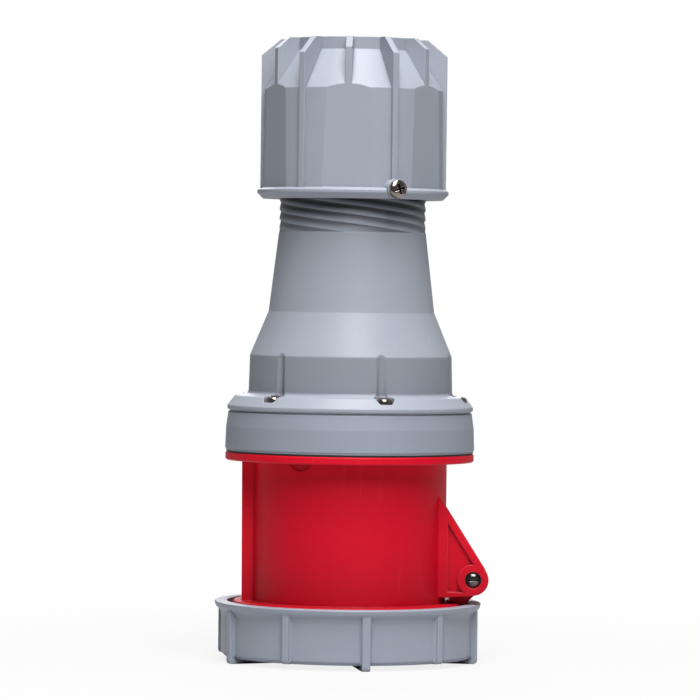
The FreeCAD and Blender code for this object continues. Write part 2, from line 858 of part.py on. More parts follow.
def front_housing():
    """The red front housing: barrel, flange, key channel, bayonet ramps and hinge ears."""
    body = new_body("front_housing")
    collar_top = barrel_rim + d.collar_rise
    collar_floor = collar_top - d.collar_thickness
    shoulder_floor = shoulder_top - d.shoulder_thickness
    spigot_top = flange_top + d.spigot_height
    revolve(
        body,
        "barrel",
        [
            (barrel_bore, barrel_rim),
            (d.barrel_radius, barrel_rim),
            (d.barrel_radius, collar_floor),
            (d.collar_radius, collar_floor),
            (d.collar_radius, collar_top - 0.8),
            (d.collar_radius - 0.8, collar_top),
            (d.barrel_radius, collar_top),
            (d.barrel_radius, flange_top),
            (barrel_bore, flange_top),
            (barrel_bore, shoulder_top),
            (d.shoulder_radius, shoulder_top),
            (d.shoulder_radius, shoulder_floor),
            (barrel_bore, shoulder_floor),
        ],
    )
    mark = circles(
        body,
        "mark_outline",
        "XZ_Plane",
        [(0, flange_floor - d.mark_height + d.mark_radius, d.mark_radius)],
        turn=d.mark_angle + 90.0,
        lift=d.barrel_radius + 1.0,
    )
    cut(body, "mark", mark, d.mark_depth + 1.0)
    key = outline(
        body,
        "key_outline",
        "XZ_Plane",
        [
            (-(d.barrel_radius - d.barrel_wall / 2), barrel_rim),
            (-d.key_reach_rim, barrel_rim),
            (-d.key_reach_top, flange_top),
            (-(d.barrel_radius - d.barrel_wall / 2), flange_top),
        ],
    )
    pad(body, "key", key, d.key_half_width * 2, middle=True)
    revolve(
        body,
        "flange",
        [
            (d.barrel_radius - d.barrel_wall / 2, flange_floor),
            (d.flange_radius - 0.6, flange_floor),
            (d.flange_radius, flange_floor + 0.6),
            (d.flange_radius, flange_top - 0.6),
            (d.flange_radius - 0.6, flange_top),
            (d.spigot_radius, flange_top),
            (d.spigot_radius, spigot_top - 0.8),
            (d.spigot_radius - 0.8, spigot_top),
            (barrel_bore, spigot_top),
            (barrel_bore, flange_top - d.flange_thickness / 2),
            (d.barrel_radius - d.barrel_wall / 2, flange_top - d.flange_thickness / 2),
        ],
    )
    channel = outline(
        body,
        "channel_outline",
        "XZ_Plane",
        [
            (-(barrel_bore - 2.0), barrel_rim),
            (-d.key_slot_reach, barrel_rim),
            (-d.key_slot_reach, shoulder_floor),
            (-(barrel_bore - 2.0), shoulder_floor),
        ],
    )
    cut(body, "channel", channel, d.key_slot_half_width * 2, middle=True)
    hinge_lugs(body)
    ramp_floor = barrel_rim + d.ramp_rise
    ramp_top = ramp_floor + d.ramp_thickness
    inside = d.barrel_radius - d.barrel_wall / 2
    starts = (("ramp_a", d.bayonet_first_angle), ("ramp_b", d.bayonet_second_angle))
    for name, angle in starts:
        corners = [
            (inside, ramp_floor),
            (d.ramp_radius - 1.0, ramp_floor),
            (d.ramp_radius, ramp_floor + 1.0),
            (d.ramp_radius, ramp_top),
            (inside, ramp_top),
        ]
        ramp = revolve(body, name, corners, turn=angle + d.bayonet_turn, angle=d.bayonet_width)
        around(body, ramp, 2)
    for name, radius, circle, first, count, level, deep in (
        ("insert_hole", d.insert_radius, d.screw_circle, d.screw_first_angle,
         d.flange_screw_count, flange_floor, d.flange_thickness),
        ("carrier_thread", d.carrier_screw_radius + d.fit_gap, d.carrier_screw_circle, sized(45),
         d.carrier_screw_count, shoulder_floor, d.shoulder_thickness),
    ):
        at = (circle * cosine(first), circle * sine(first), radius)
        hole = circles(body, name + "_outline", "XY_Plane", [at], lift=level)
        around(body, cut(body, name, hole, deep, reverse=True), count)
    return body


def hinge_pin():
    """The steel hinge pin: a plain shaft turned down to a domed tip at each end, one of them slotted."""
    body = new_body("hinge_pin")
    half = lug_half_span - d.pin_end_recess
    revolve(
        body,
        "pin_turned",
        [
            (0, -half),
            (d.pin_tip_radius * 0.6, d.pin_dome / 4 - half),
            (d.pin_tip_radius, d.pin_dome - half),
            (d.pin_tip_radius, d.pin_tip_length - half),
            (d.pin_radius, d.pin_tip_length - half),
            (d.pin_radius, half - d.pin_tip_length),
            (d.pin_tip_radius, half - d.pin_tip_length),
            (d.pin_tip_radius, half - d.pin_dome),
            (d.pin_tip_radius * 0.6, half - d.pin_dome / 4),
            (0, half),
        ],
    )
    wide, slot = d.pin_radius, d.pin_slot_width / 2
    corners = [(-wide, -slot), (wide, -slot), (wide, slot), (-wide, slot)]
    top = outline(body, "slot_outline", "XY_Plane", corners, lift=half)
    cut(body, "pin_slot", top, d.pin_slot_depth)
    place(body, x=d.pin_x, z=d.pin_z, axis=Vector(1, 0, 0), angle=90)
    return body


def hinge_spring():
    """The steel torsion spring round the pin, one leg on the barrel and one on the lid's arm."""
    wire = DIMENSIONS["spring_wire_radius"]
    coil = DIMENSIONS["pin_radius"] + DIMENSIONS["spring_clearance"] + wire
    pitch = DIMENSIONS["spring_pitch"]
    wall_angle, arm_angle = DIMENSIONS["spring_wall_angle"], DIMENSIONS["spring_arm_angle"]
    turns = DIMENSIONS["spring_turns"] + (wall_angle - arm_angle) / 360.0
    length = pitch * turns
    centre = Vector(d.pin_x.value, 0, d.pin_z.value)
    section = Part.Wire(Part.makeCircle(wire, Vector(coil, 0, 0), Vector(0, 1, 0)))
    shape = Part.Wire(Part.makeHelix(pitch, length, coil)).makePipeShell([section], True, True)
    shape.rotate(Vector(), Vector(1, 0, 0), -90)
    shape.rotate(Vector(), Vector(0, 1, 0), -wall_angle)
    shape.translate(centre - Vector(0, length / 2, 0))
    wall_stop = clear_of_barrel.value + wire + DIMENSIONS["face_gap"]
    arm_stop = arm_left.value + DIMENSIONS["arm_web"] + wire + DIMENSIONS["face_gap"]
    legs = []
    for angle, side, stop, way in ((wall_angle, -1, wall_stop, -1), (arm_angle, 1, arm_stop, 1)):
        across = Vector(math.cos(math.radians(angle)), 0, math.sin(math.radians(angle)))
        along = Vector(across.z, 0, -across.x) * way
        foot = centre + across * coil + Vector(0, side * length / 2, 0)
        reach = (stop - foot.x) / along.x
        legs.append(Part.makeCylinder(wire, reach, foot, along))
    feature = doc.addObject("Part::Feature", "hinge_spring")
    feature.Label = "hinge_spring"
    feature.Shape = shape.multiFuse(legs)
    feature.Placement = Placement()
    return feature


def housing_seal():
    """The black flat seal between the red flange and the grey spacer ring."""
    body = new_body("housing_seal")
    inner = d.spigot_radius + d.side_gap
    corners = [
        (inner, flange_top),
        (d.seal_radius, flange_top),
        (d.seal_radius, seal_top),
        (inner, seal_top),
    ]
    revolve(body, "seal_ring", corners)
    screw_holes(body, flange_top, d.seal_thickness)
    return body


def screw_holes(body, floor, height):
    """The six clearance holes for the flange screws."""
    at = (
        d.screw_circle * cosine(d.screw_first_angle),
        d.screw_circle * sine(d.screw_first_angle),
        d.screw_shank_radius + d.screw_gap,
    )
    hole = circles(body, "screw_hole_outline", "XY_Plane", [at], lift=floor)
    around(body, cut(body, "screw_hole", hole, height, reverse=True), d.flange_screw_count)


def spacer_ring():
    """The grey ring under the rear housing: a hollow moulding with a boss round each screw."""
    body = new_body("spacer_ring")
    inner = d.spigot_radius + d.side_gap
    step_floor = spacer_top - d.spacer_step
    revolve(
        body,
        "spacer_body",
        [
            (inner, seal_top),
            (d.spacer_foot_radius - 0.5, seal_top),
            (d.spacer_foot_radius, seal_top + 0.6),
            (d.spacer_mid_radius, seal_top + d.spacer_mid_rise),
            (d.spacer_top_radius, step_floor),
            (d.spacer_step_radius, step_floor),
            (d.spacer_step_radius, spacer_top),
            (inner, spacer_top),
        ],
    )
    hollow_top = spacer_top - d.spacer_wall
    groove(
        body,
        "spacer_hollow",
        [
            (inner + d.spacer_wall * 0.7, seal_top),
            (d.spacer_foot_radius - d.spacer_wall, seal_top),
            (d.spacer_top_radius - d.spacer_wall, hollow_top),
            (inner + d.spacer_wall * 0.7, hollow_top),
        ],
    )
    at = (
        d.screw_circle * cosine(d.screw_first_angle),
        d.screw_circle * sine(d.screw_first_angle),
        d.spacer_boss_radius,
    )
    boss = circles(body, "spacer_boss_outline", "XY_Plane", [at], lift=seal_top)
    around(body, pad(body, "spacer_boss", boss, d.spacer_height - 1.0), d.flange_screw_count)
    screw_holes(body, seal_top, d.spacer_height)
    return body


def rear_housing():
    """The grey rear housing: a screwed-down flange, two cones and the neck for the gland nut."""
    body = new_body("rear_housing")
    wall_top = spacer_top + d.wall_rise
    cone_top = spacer_top + d.shoulder_cone_rise
    throat_floor = neck_top - d.throat_length
    pocket_floor = neck_top - d.seal_pocket_depth
    wall = d.housing_wall
    revolve(
        body,
        "housing_shell",
        [
            (d.wall_foot_radius - wall, spacer_top),
            (d.lip_radius - 0.7, spacer_top),
            (d.lip_radius, spacer_top + 0.7),
            (d.lip_radius, spacer_top + d.lip_height),
            (d.flange_bevel_radius, spacer_top + d.flange_bevel_rise),
            (d.wall_foot_radius + 0.6, spacer_top + d.flange_rise - 0.5),
            (d.wall_foot_radius, spacer_top + d.flange_rise + 0.6),
            (d.wall_top_radius, wall_top),
            (d.shoulder_cone_radius, cone_top),
            (d.neck_cone_radius, neck_floor),
            (d.neck_radius, neck_floor + d.neck_shoulder),
            (d.neck_radius, neck_top - 1.0),
            (d.neck_radius - 1.0, neck_top),
            (d.seal_pocket_radius, neck_top),
            (d.seal_pocket_radius, pocket_floor),
            (d.throat_radius, pocket_floor),
            (d.throat_radius, throat_floor),
            (d.neck_cone_radius - wall, neck_floor - 3.0),
            (d.shoulder_cone_radius - wall, cone_top - 1.5),
            (d.wall_top_radius - wall, wall_top - 1.5),
        ],
    )
    at = (
        d.screw_circle * cosine(d.screw_first_angle),
        d.screw_circle * sine(d.screw_first_angle),
        d.screw_access_radius,
    )
    access = circles(body, "access_outline", "XY_Plane", [at], lift=screw_seat)
    around(body, cut(body, "access", access, d.wall_rise * 2, reverse=True), d.flange_screw_count)
    screw_holes(body, spacer_top, d.screw_seat_rise)
    return body


def flange_screws():
    """Six pan head screws down through the flange into the brass nuts in the red flange."""
    length = screw_seat - flange_floor - 0.3
    master = pan_screw(
        "flange_screw_master",
        d.screw_head_radius,
        d.screw_head_height,
        d.screw_shank_radius,
        length,
        d.cross_width,
        d.cross_depth,
    )
    place(master, x=d.screw_circle, z=screw_seat)
    spots = turned_about_axis(DIMENSIONS["flange_screw_count"], DIMENSIONS["screw_first_angle"])
    return group("flange_screws", master, spots)


def flange_inserts():
    """Brass nuts pressed into the red flange for the six screws."""
    body = hidden_master(new_body("insert_master"))
    bore = d.screw_shank_radius + d.fit_gap
    outer = d.insert_radius - 0.02
    corners = [
        (bore, flange_floor + 0.1),
        (outer, flange_floor + 0.1),
        (outer, flange_floor + 0.1 + d.insert_length),
        (bore, flange_floor + 0.1 + d.insert_length),
    ]
    revolve(body, "insert_turned", corners)
    place(body, x=d.screw_circle)
    spots = turned_about_axis(DIMENSIONS["flange_screw_count"], DIMENSIONS["screw_first_angle"])
    return group("flange_inserts", body, spots)


# Contacts: name, angle about the axis, distance from it, bore radius, wall
CONTACTS = [
    ("contact_earth", 180.0, d.contact_circle, d.earth_bore_radius, d.contact_wall),
    ("contact_phase_1", 108.0, d.contact_circle, d.contact_bore_radius, d.contact_wall),
    ("contact_phase_2", 36.0, d.contact_circle, d.contact_bore_radius, d.contact_wall),
    ("contact_phase_3", -36.0, d.contact_circle, d.contact_bore_radius, d.contact_wall),
    ("contact_neutral", -108.0, d.contact_circle, d.contact_bore_radius, d.contact_wall),
    ("contact_pilot", 0.0, sized(0), d.pilot_bore_radius, d.pilot_wall),
]


def contact_holes(body, name, level, deep, margin):
    """One hole for each contact, margin wider than that contact's bore."""
    rounds = []
    for _, angle, circle, bore, wall in CONTACTS:
        rounds.append((circle * cosine(angle), circle * sine(angle), margin(bore, wall)))
    sketch = circles(body, name + "_outline", "XY_Plane", rounds, lift=level)
    cut(body, name, sketch, deep, reverse=True)


def contact_carrier():
    """The insulating block that the six contact sleeves stand in, hung by its lip in the ring."""
    body = new_body("contact_carrier")
    collar_floor = carrier_top - d.contact_collar
    revolve(
        body,
        "carrier_block",
        [
            (0, carrier_face),
            (block_radius - 1.0, carrier_face),
            (block_radius, carrier_face + 1.0),
            (block_radius, block_lip_floor),
            (block_lip_radius, block_lip_floor),
            (block_lip_radius, carrier_flange_top),
            (d.carrier_boss_radius, carrier_flange_top),
            (d.carrier_boss_radius, carrier_top),
            (0, carrier_top),
        ],
    )
    sleeve_floor = carrier_face + d.contact_recess
    contact_holes(body, "pin_entry", carrier_face, d.contact_recess, lambda bore, wall: bore + 0.6)
    contact_holes(
        body,
        "sleeve_bore",
        sleeve_floor,
        collar_floor - sleeve_floor,
        lambda bore, wall: bore + wall + d.fit_gap,
    )
    contact_holes(
        body,
        "collar_seat",
        collar_floor,
        d.contact_collar,
        lambda bore, wall: bore + wall + d.collar_step + d.fit_gap,
    )
    at = (
        d.cover_screw_circle * cosine(0),
        0,
        d.cover_screw_radius + d.fit_gap,
    )
    deep = d.cover_screw_length - d.cover_thickness + 1.0
    thread = circles(body, "cover_thread_outline", "XY_Plane", [at], lift=carrier_top)
    around(body, cut(body, "cover_thread", thread, deep), d.cover_screw_count)
    return body


def carrier_ring():
    """The ring that the screws draw down on the barrel's shoulder, rebated for the block's lip."""
    body = new_body("carrier_ring")
    outer = barrel_bore - d.side_gap
    inner = block_radius + d.side_gap
    rebate = block_lip_radius + d.side_gap / 2
    revolve(
        body,
        "ring_turned",
        [
            (inner, shoulder_top),
            (outer, shoulder_top),
            (outer, carrier_flange_top),
            (rebate, carrier_flange_top),
            (rebate, block_lip_floor),
            (inner, block_lip_floor),
        ],
    )
    at = (
        d.carrier_screw_circle * cosine(45),
        d.carrier_screw_circle * sine(45),
        d.carrier_screw_radius + d.screw_gap,
    )
    hole = circles(body, "carrier_hole_outline", "XY_Plane", [at], lift=shoulder_top)
    feature = cut(body, "carrier_hole", hole, d.carrier_flange, reverse=True)
    around(body, feature, d.carrier_screw_count)
    return body


def carrier_cover():
    """The plate over the contacts' collars that keeps them in the carrier."""
    body = new_body("carrier_cover")
    revolve(
        body,
        "cover_disc",
        [
            (0, carrier_top),
            (d.cover_radius, carrier_top),
            (d.cover_radius, cover_top - 0.8),
            (d.cover_radius - 0.8, cover_top),
            (0, cover_top),
        ],
    )
    contact_holes(
        body,
        "head_hole",
        carrier_top,
        d.cover_thickness,
        lambda bore, wall: bore + wall + d.head_step + d.screw_gap,
    )
    at = (d.cover_screw_circle, 0, d.cover_screw_radius + d.screw_gap)
    hole = circles(body, "cover_hole_outline", "XY_Plane", [at], lift=carrier_top)
    feature = cut(body, "cover_hole", hole, d.cover_thickness, reverse=True)
    around(body, feature, d.cover_screw_count)
    return body


def contact_sleeve(name, angle, circle, bore, wall):
    """A turned brass sleeve: slit spring tube below, terminal head with a wire hole above."""
    body = new_body(name)
    outer = bore + wall
    collar = outer + d.collar_step
    head = outer + d.head_step
    sleeve_floor = carrier_face + d.contact_recess
    collar_floor = carrier_top - d.contact_collar
    head_top = carrier_top + d.head_height
    wire_hole = head - d.head_wall
    revolve(
        body,
        name + "_turned",
        [
            (bore, sleeve_floor + 0.4),
            (bore + 0.4, sleeve_floor),
            (outer, sleeve_floor),
            (outer, collar_floor),
            (collar, collar_floor),
            (collar, carrier_top),
            (head, carrier_top),
            (head, head_top),
            (wire_hole, head_top),
            (wire_hole, head_top - d.wire_hole_depth),
            (0, head_top - d.wire_hole_depth),
            (0, sleeve_floor + d.contact_depth),
            (bore, sleeve_floor + d.contact_depth),
        ],
    )
    half = d.slit_width / 2
    slit = outline(
        body,
        name + "_slit_outline",
        "XY_Plane",
        [(-outer, -half), (outer, -half), (outer, half), (-outer, half)],
        lift=sleeve_floor,
    )
    around(body, cut(body, name + "_slit", slit, d.slit_length, reverse=True), 2, 180.0)
    levels = [d.set_screw_low, d.set_screw_high]
    rounds = [(0, carrier_top + level, d.set_screw_radius + d.fit_gap) for level in levels]
    side = circles(body, name + "_side_outline", "XZ_Plane", rounds, turn=sized(angle) + 90.0)
    cut(body, name + "_side", side, head, reverse=True)
    place(body, x=circle * cosine(angle), y=circle * sine(angle))
    return body


def terminal_screws():
    """Two set screws in the side of each terminal head, with hexagon sockets."""
    body = hidden_master(new_body("set_screw_master"))
    length = d.set_screw_length
    revolve(
        body,
        "set_screw_turned",
        [
            (0, 0),
            (d.set_screw_radius - 0.6, 0),
            (d.set_screw_radius, 0.6),
            (d.set_screw_radius, length),
            (0, length),
        ],
    )
    flats = []
    for corner in range(6):
        flats.append((cosine(60 * corner) * 1.4, sine(60 * corner) * 1.4))
    socket = outline(body, "set_screw_socket_outline", "XY_Plane", flats, lift=length)
    cut(body, "set_screw_socket", socket, length / 2)
    spots = []
    for _, angle, circle, bore, wall in CONTACTS:
        head = (bore + wall + d.head_step).value
        start = head - DIMENSIONS["set_screw_length"] + DIMENSIONS["set_screw_proud"]
        way = Vector(math.cos(math.radians(angle)), math.sin(math.radians(angle)), 0)
        for level in (d.set_screw_low, d.set_screw_high):
            at = way * (circle.value + start) + Vector(0, 0, (carrier_top + level).value)
            spots.append(Placement(at, Rotation(Vector(0, 0, 1), way)))
    return group("terminal_screws", body, spots)


def carrier_screws():
    """Four small screws that fix the carrier's ring to the shoulder, their heads over the block's lip."""
    master = pan_screw(
        "carrier_screw_master",
        d.carrier_screw_head,
        d.carrier_screw_radius * 1.2,
        d.carrier_screw_radius,
        d.carrier_flange + d.shoulder_thickness - d.face_gap,
        sized(0.7),
        sized(0.8),
    )
    place(master, x=d.carrier_screw_circle, z=carrier_flange_top)
    return group("carrier_screws", master, turned_about_axis(DIMENSIONS["carrier_screw_count"], 45.0))


def cover_screws():
    """Five screws that hold the cover plate on the carrier, one between each pair of contacts."""
    master = pan_screw(
        "cover_screw_master",
        d.cover_screw_head,
        d.cover_screw_radius * 1.2,
        d.cover_screw_radius,
        d.cover_screw_length,
        sized(0.8),
        sized(0.9),
    )
    place(master, x=d.cover_screw_circle, z=cover_top)
    return group("cover_screws", master, turned_about_axis(DIMENSIONS["cover_screw_count"]))


def gland_nut():
    """The big gland nut: spanner flats, six long and six short ribs over a coned top."""
    body = new_body("gland_nut")
    cone_floor = cage_ring_top + d.face_gap
    revolve(
        body,
        "nut_shell",
        [
            (d.nut_bore_radius, nut_floor),
            (d.nut_foot_radius, nut_floor),
            (d.nut_flange_radius, nut_floor + d.nut_bevel_height),
            (d.nut_flange_radius, nut_flange_top - 1.1),
            (d.nut_flange_radius - 1.0, nut_flange_top - 0.3),
            (d.nut_wall_low_radius, nut_flange_top),
            (d.nut_wall_top_radius, nut_wall_top),
            (d.nut_collar_radius, nut_cone_top),
            (d.nut_collar_radius, nut_top),
            (d.nut_mouth_radius + 1.0, nut_top),
            (d.nut_mouth_radius, nut_top - 1.0),
            (d.nut_mouth_radius, pressure_top + d.face_gap),
            (d.finger_tip_radius + d.nut_cone_gap, pressure_top + d.face_gap),
            (d.finger_tip_radius + d.nut_cone_gap, finger_tip),
            (d.finger_foot_radius + d.nut_cone_gap, cone_floor),
            (d.nut_bore_radius, cone_floor),
        ],
    )
    wide = d.nut_flat_half_width
    flat = outline(
        body,
        "flat_outline",
        "XZ_Plane",
        [
            (-wide, nut_flange_top),
            (wide, nut_flange_top),
            (wide, nut_top + 1.0),
            (-wide, nut_top + 1.0),
        ],
        turn=d.nut_flat_angle + 90.0,
        lift=d.nut_flat_distance,
    )
    beyond = d.nut_flange_radius - d.nut_flat_distance + 1.0
    around(body, cut(body, "flat", flat, beyond, reverse=True), d.nut_rib_count)
    rib_root = d.nut_collar_radius - 0.4
    slope = d.rib_bevel_drop / (d.long_rib_radius - rib_top_radius)
    long_rib = outline(
        body,
        "long_rib_outline",
        "XZ_Plane",
        [
            (rib_root, nut_top),
            (rib_top_radius, nut_top),
            (d.long_rib_radius, nut_top - d.rib_bevel_drop),
            (d.long_rib_radius, nut_flange_top - 1.0),
            (d.nut_wall_low_radius - 1.0, nut_flange_top - 1.0),
            (d.nut_wall_top_radius - 0.9, nut_wall_top - 0.5),
            (rib_root, nut_cone_top - 1.0),
        ],
        turn=d.nut_rib_angle,
    )
    feature = pad(body, "long_rib", long_rib, d.long_rib_width, middle=True)
    around(body, feature, d.nut_rib_count)
    short_rib = outline(
        body,
        "short_rib_outline",
        "XZ_Plane",
        [
            (rib_root, nut_top),
            (rib_top_radius, nut_top),
            (d.nut_flat_distance, nut_top - (d.nut_flat_distance - rib_top_radius) * slope),
            (d.nut_flat_distance, nut_wall_top + 1.0),
            (d.nut_flat_distance - 1.2, nut_wall_top + 1.0),
            (rib_root, nut_cone_top - 1.0),
        ],
        turn=d.nut_flat_angle,
    )
    feature = pad(body, "short_rib", short_rib, d.short_rib_width, middle=True)
    around(body, feature, d.nut_rib_count)
    level = nut_floor + d.lock_screw_rise
    turn = d.nut_rib_angle + 90.0
    reach = d.lock_boss_reach
    boss = circles(
        body, "lock_boss_outline", "XZ_Plane", [(0, level, d.lock_boss_radius)], turn=turn, lift=reach
    )
    pad(body, "lock_boss", boss, reach - d.nut_wall_low_radius + 1.0, reverse=True)
    at = (0, level, d.lock_shank_radius + d.fit_gap)
    hole = circles(body, "lock_hole_outline", "XZ_Plane", [at], turn=turn, lift=reach)
    cut(body, "lock_hole", hole, reach - d.nut_bore_radius + 1.0)
    return body


def gland_lock_screw():
    """The screw through the nut's flange that stops the gland from working loose."""
    master = pan_screw(
        "gland_lock_screw",
        d.lock_head_radius,
        d.lock_head_height,
        d.lock_shank_radius,
        d.lock_boss_reach - d.nut_bore_radius - d.face_gap,
        d.lock_cross_width,
        d.lock_cross_depth,
    )
    MASTERS.remove(master.Name)
    level = (nut_floor + d.lock_screw_rise).value
    turn = math.radians(DIMENSIONS["nut_rib_angle"])
    out = Vector(math.cos(turn), math.sin(turn), 0)
    upright = Rotation(Vector(0, 0, 1), out)
    master.Placement = Placement(out * DIMENSIONS["lock_boss_reach"] + Vector(0, 0, level), upright)
    return master


def clamping_cage():
    """The collet that grips the cable: a ring with eight fingers that the nut squeezes."""
    body = new_body("clamping_cage")
    revolve(
        body,
        "cage_turned",
        [
            (d.throat_radius, cage_floor),
            (d.cage_ring_radius, cage_floor),
            (d.cage_ring_radius, cage_ring_top),
            (d.finger_foot_radius, cage_ring_top),
            (d.finger_tip_radius, finger_tip - 1.0),
            (d.finger_tip_radius - 1.0, finger_tip),
            (d.finger_bore_radius, finger_tip),
            (d.finger_bore_radius, cage_ring_top),
        ],
    )
    half = d.finger_slot / 2
    reach = d.cage_ring_radius + 1.0
    slot = outline(
        body,
        "finger_slot_outline",
        "XY_Plane",
        [(-reach, -half), (reach, -half), (reach, half), (-reach, half)],
        lift=cage_ring_top + 1.5,
    )
    feature = cut(body, "finger_slot", slot, d.finger_length, reverse=True)
    around(body, feature, d.finger_count / 2, 180.0)
    return body


def cable_seal():
    """The rubber sealing sleeve in the neck, bored for the cable."""
    body = new_body("cable_seal")
    floor = neck_top - d.seal_pocket_depth + d.face_gap
    outer = d.seal_pocket_radius - d.cable_seal_side_gap
    bore = d.cable_seal_bore_radius
    revolve(
        body,
        "sleeve_turned",
        [
            (bore + 1.5, floor),
            (outer, floor),
            (outer, neck_top),
            (bore + 1.5, neck_top),
            (bore, neck_top - 3.0),
            (bore, floor + 3.0),
        ],
    )
    return body


def pressure_ring():
    """The slip ring between the nut's shoulder and the cage's finger tips."""
    body = new_body("pressure_ring")
    corners = [
        (d.pressure_ring_bore, pressure_floor),
        (d.pressure_ring_radius, pressure_floor),
        (d.pressure_ring_radius, pressure_top),
        (d.pressure_ring_bore, pressure_top),
    ]
    revolve(body, "slip_ring", corners)
    return body


def build_parts():
    """Every sub-part, from the ring the coupler stands on up to the cable mouth."""
    parts = [
        locking_ring(),
        ring_retainer(),
        retainer_screws(),
        lid(),
        lid_gasket(),
        front_housing(),
        hinge_pin(),
        hinge_spring(),
        contact_carrier(),
        carrier_ring(),
        carrier_cover(),
        carrier_screws(),
        cover_screws(),
    ]
    parts += [contact_sleeve(*contact) for contact in CONTACTS]
    parts += [
        terminal_screws(),
        housing_seal(),
        spacer_ring(),
        flange_inserts(),
        rear_housing(),
        flange_screws(),
        gland_nut(),
        gland_lock_screw(),
        pressure_ring(),
        clamping_cage(),
        cable_seal(),
    ]
    doc.recompute()
    return parts


def check_document():
    """Stop if any object of the document failed to build."""
    for item in doc.Objects:
        if "Invalid" in item.State or "Error" in item.State:
            raise RuntimeError(f"{item.Name} did not build: {item.State}")


def export(parts):
    """Write each sub-part to a file named after it."""
    os.makedirs("parts", exist_ok=True)
    for part in parts:
        shape = part.Shape
        if shape.isNull() or not shape.isValid():
            raise RuntimeError(f"{part.Label} has no valid shape")
        shape.exportStep(f"parts/{part.Label}.step")
        print(f"{part.Label}: {len(shape.Solids)} solids, {shape.Volume / 1000:.2f} cm3")


built = build_parts()
check_document()
export(built)
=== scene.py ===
import math

import bpy
from mathutils import Matrix, Vector


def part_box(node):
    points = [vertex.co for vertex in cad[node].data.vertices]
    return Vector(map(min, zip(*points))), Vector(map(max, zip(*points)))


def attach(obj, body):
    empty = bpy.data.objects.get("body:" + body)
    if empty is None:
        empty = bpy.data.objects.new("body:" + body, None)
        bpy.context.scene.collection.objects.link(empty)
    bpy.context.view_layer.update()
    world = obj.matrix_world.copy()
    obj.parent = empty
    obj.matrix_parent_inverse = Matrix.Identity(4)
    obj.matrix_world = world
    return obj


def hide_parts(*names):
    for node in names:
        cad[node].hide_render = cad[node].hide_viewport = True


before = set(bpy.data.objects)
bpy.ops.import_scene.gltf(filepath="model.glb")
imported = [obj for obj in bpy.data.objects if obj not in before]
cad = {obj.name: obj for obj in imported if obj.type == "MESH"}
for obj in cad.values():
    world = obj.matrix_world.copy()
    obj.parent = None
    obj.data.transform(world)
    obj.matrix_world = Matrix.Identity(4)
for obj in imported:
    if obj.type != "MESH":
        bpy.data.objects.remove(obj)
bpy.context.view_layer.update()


# Red front housing: the moulded barrel with its flange, key channel and hinge ears.
# It is glass-filled nylon dyed red, matt from a spark-eroded mould, with softly broken edges.
# Shade is painted on it towards its foot, and in the small half-moon mark under the flange.

class Signal:
    """One output of a node tree. Sums and products of it add the Math nodes for them."""

    def __init__(self, works, socket):
        self.works = works
        self.socket = socket

    def beside(self, name):
        """Another output of the same node."""
        return Signal(self.works, self.socket.node.outputs[name])

    def maths(self, operation, left, right):
        return self.works.node("ShaderNodeMath", {"operation": operation}, {0: left, 1: right})

    def __add__(self, other):
        return self.maths("ADD", self, other)

    __radd__ = __add__

    def __sub__(self, other):
        return self.maths("SUBTRACT", self, other)

    def __rsub__(self, other):
        return self.maths("SUBTRACT", other, self)

    def __mul__(self, other):
        return self.maths("MULTIPLY", self, other)

    __rmul__ = __mul__

    def __truediv__(self, other):
        return self.maths("DIVIDE", self, other)

    def __gt__(self, other):
        return self.maths("GREATER_THAN", self, other)

    def fraction(self):
        return self.maths("FRACT", self, 0.0)

    def sine(self):
        return self.maths("SINE", self, 0.0)

    def cosine(self):
        return self.maths("COSINE", self, 0.0)

    def clamped(self):
        return self.works.node("ShaderNodeClamp", {}, {"Value": self})

    def ramp(self, low, high):
        """0 below low, 1 above high, and a smooth step between."""
        return self.works.node("ShaderNodeMapRange", {"interpolation_type": "SMOOTHSTEP"},
                               {"Value": self, "From Min": low, "From Max": high})


class Works:
    """A node tree in the making, to which every node comes through node()."""

    def __init__(self, tree):
        self.tree = tree

    def node(self, kind, settings=None, inputs=None, out=0):
        made = self.tree.nodes.new(kind)
        for name, value in (settings or {}).items():
            setattr(made, name, value)
        for key, value in (inputs or {}).items():
            sockets = [s for s in made.inputs if key in (s.identifier, s.name)]
            socket = made.inputs[key] if isinstance(key, int) else sockets[0]
            if isinstance(value, Signal):
                self.tree.links.new(value.socket, socket)
            else:
                socket.default_value = value
        if isinstance(out, int):
            return Signal(self, made.outputs[out]) if made.outputs else None
        return Signal(self, next(s for s in made.outputs if out in (s.identifier, s.name)))


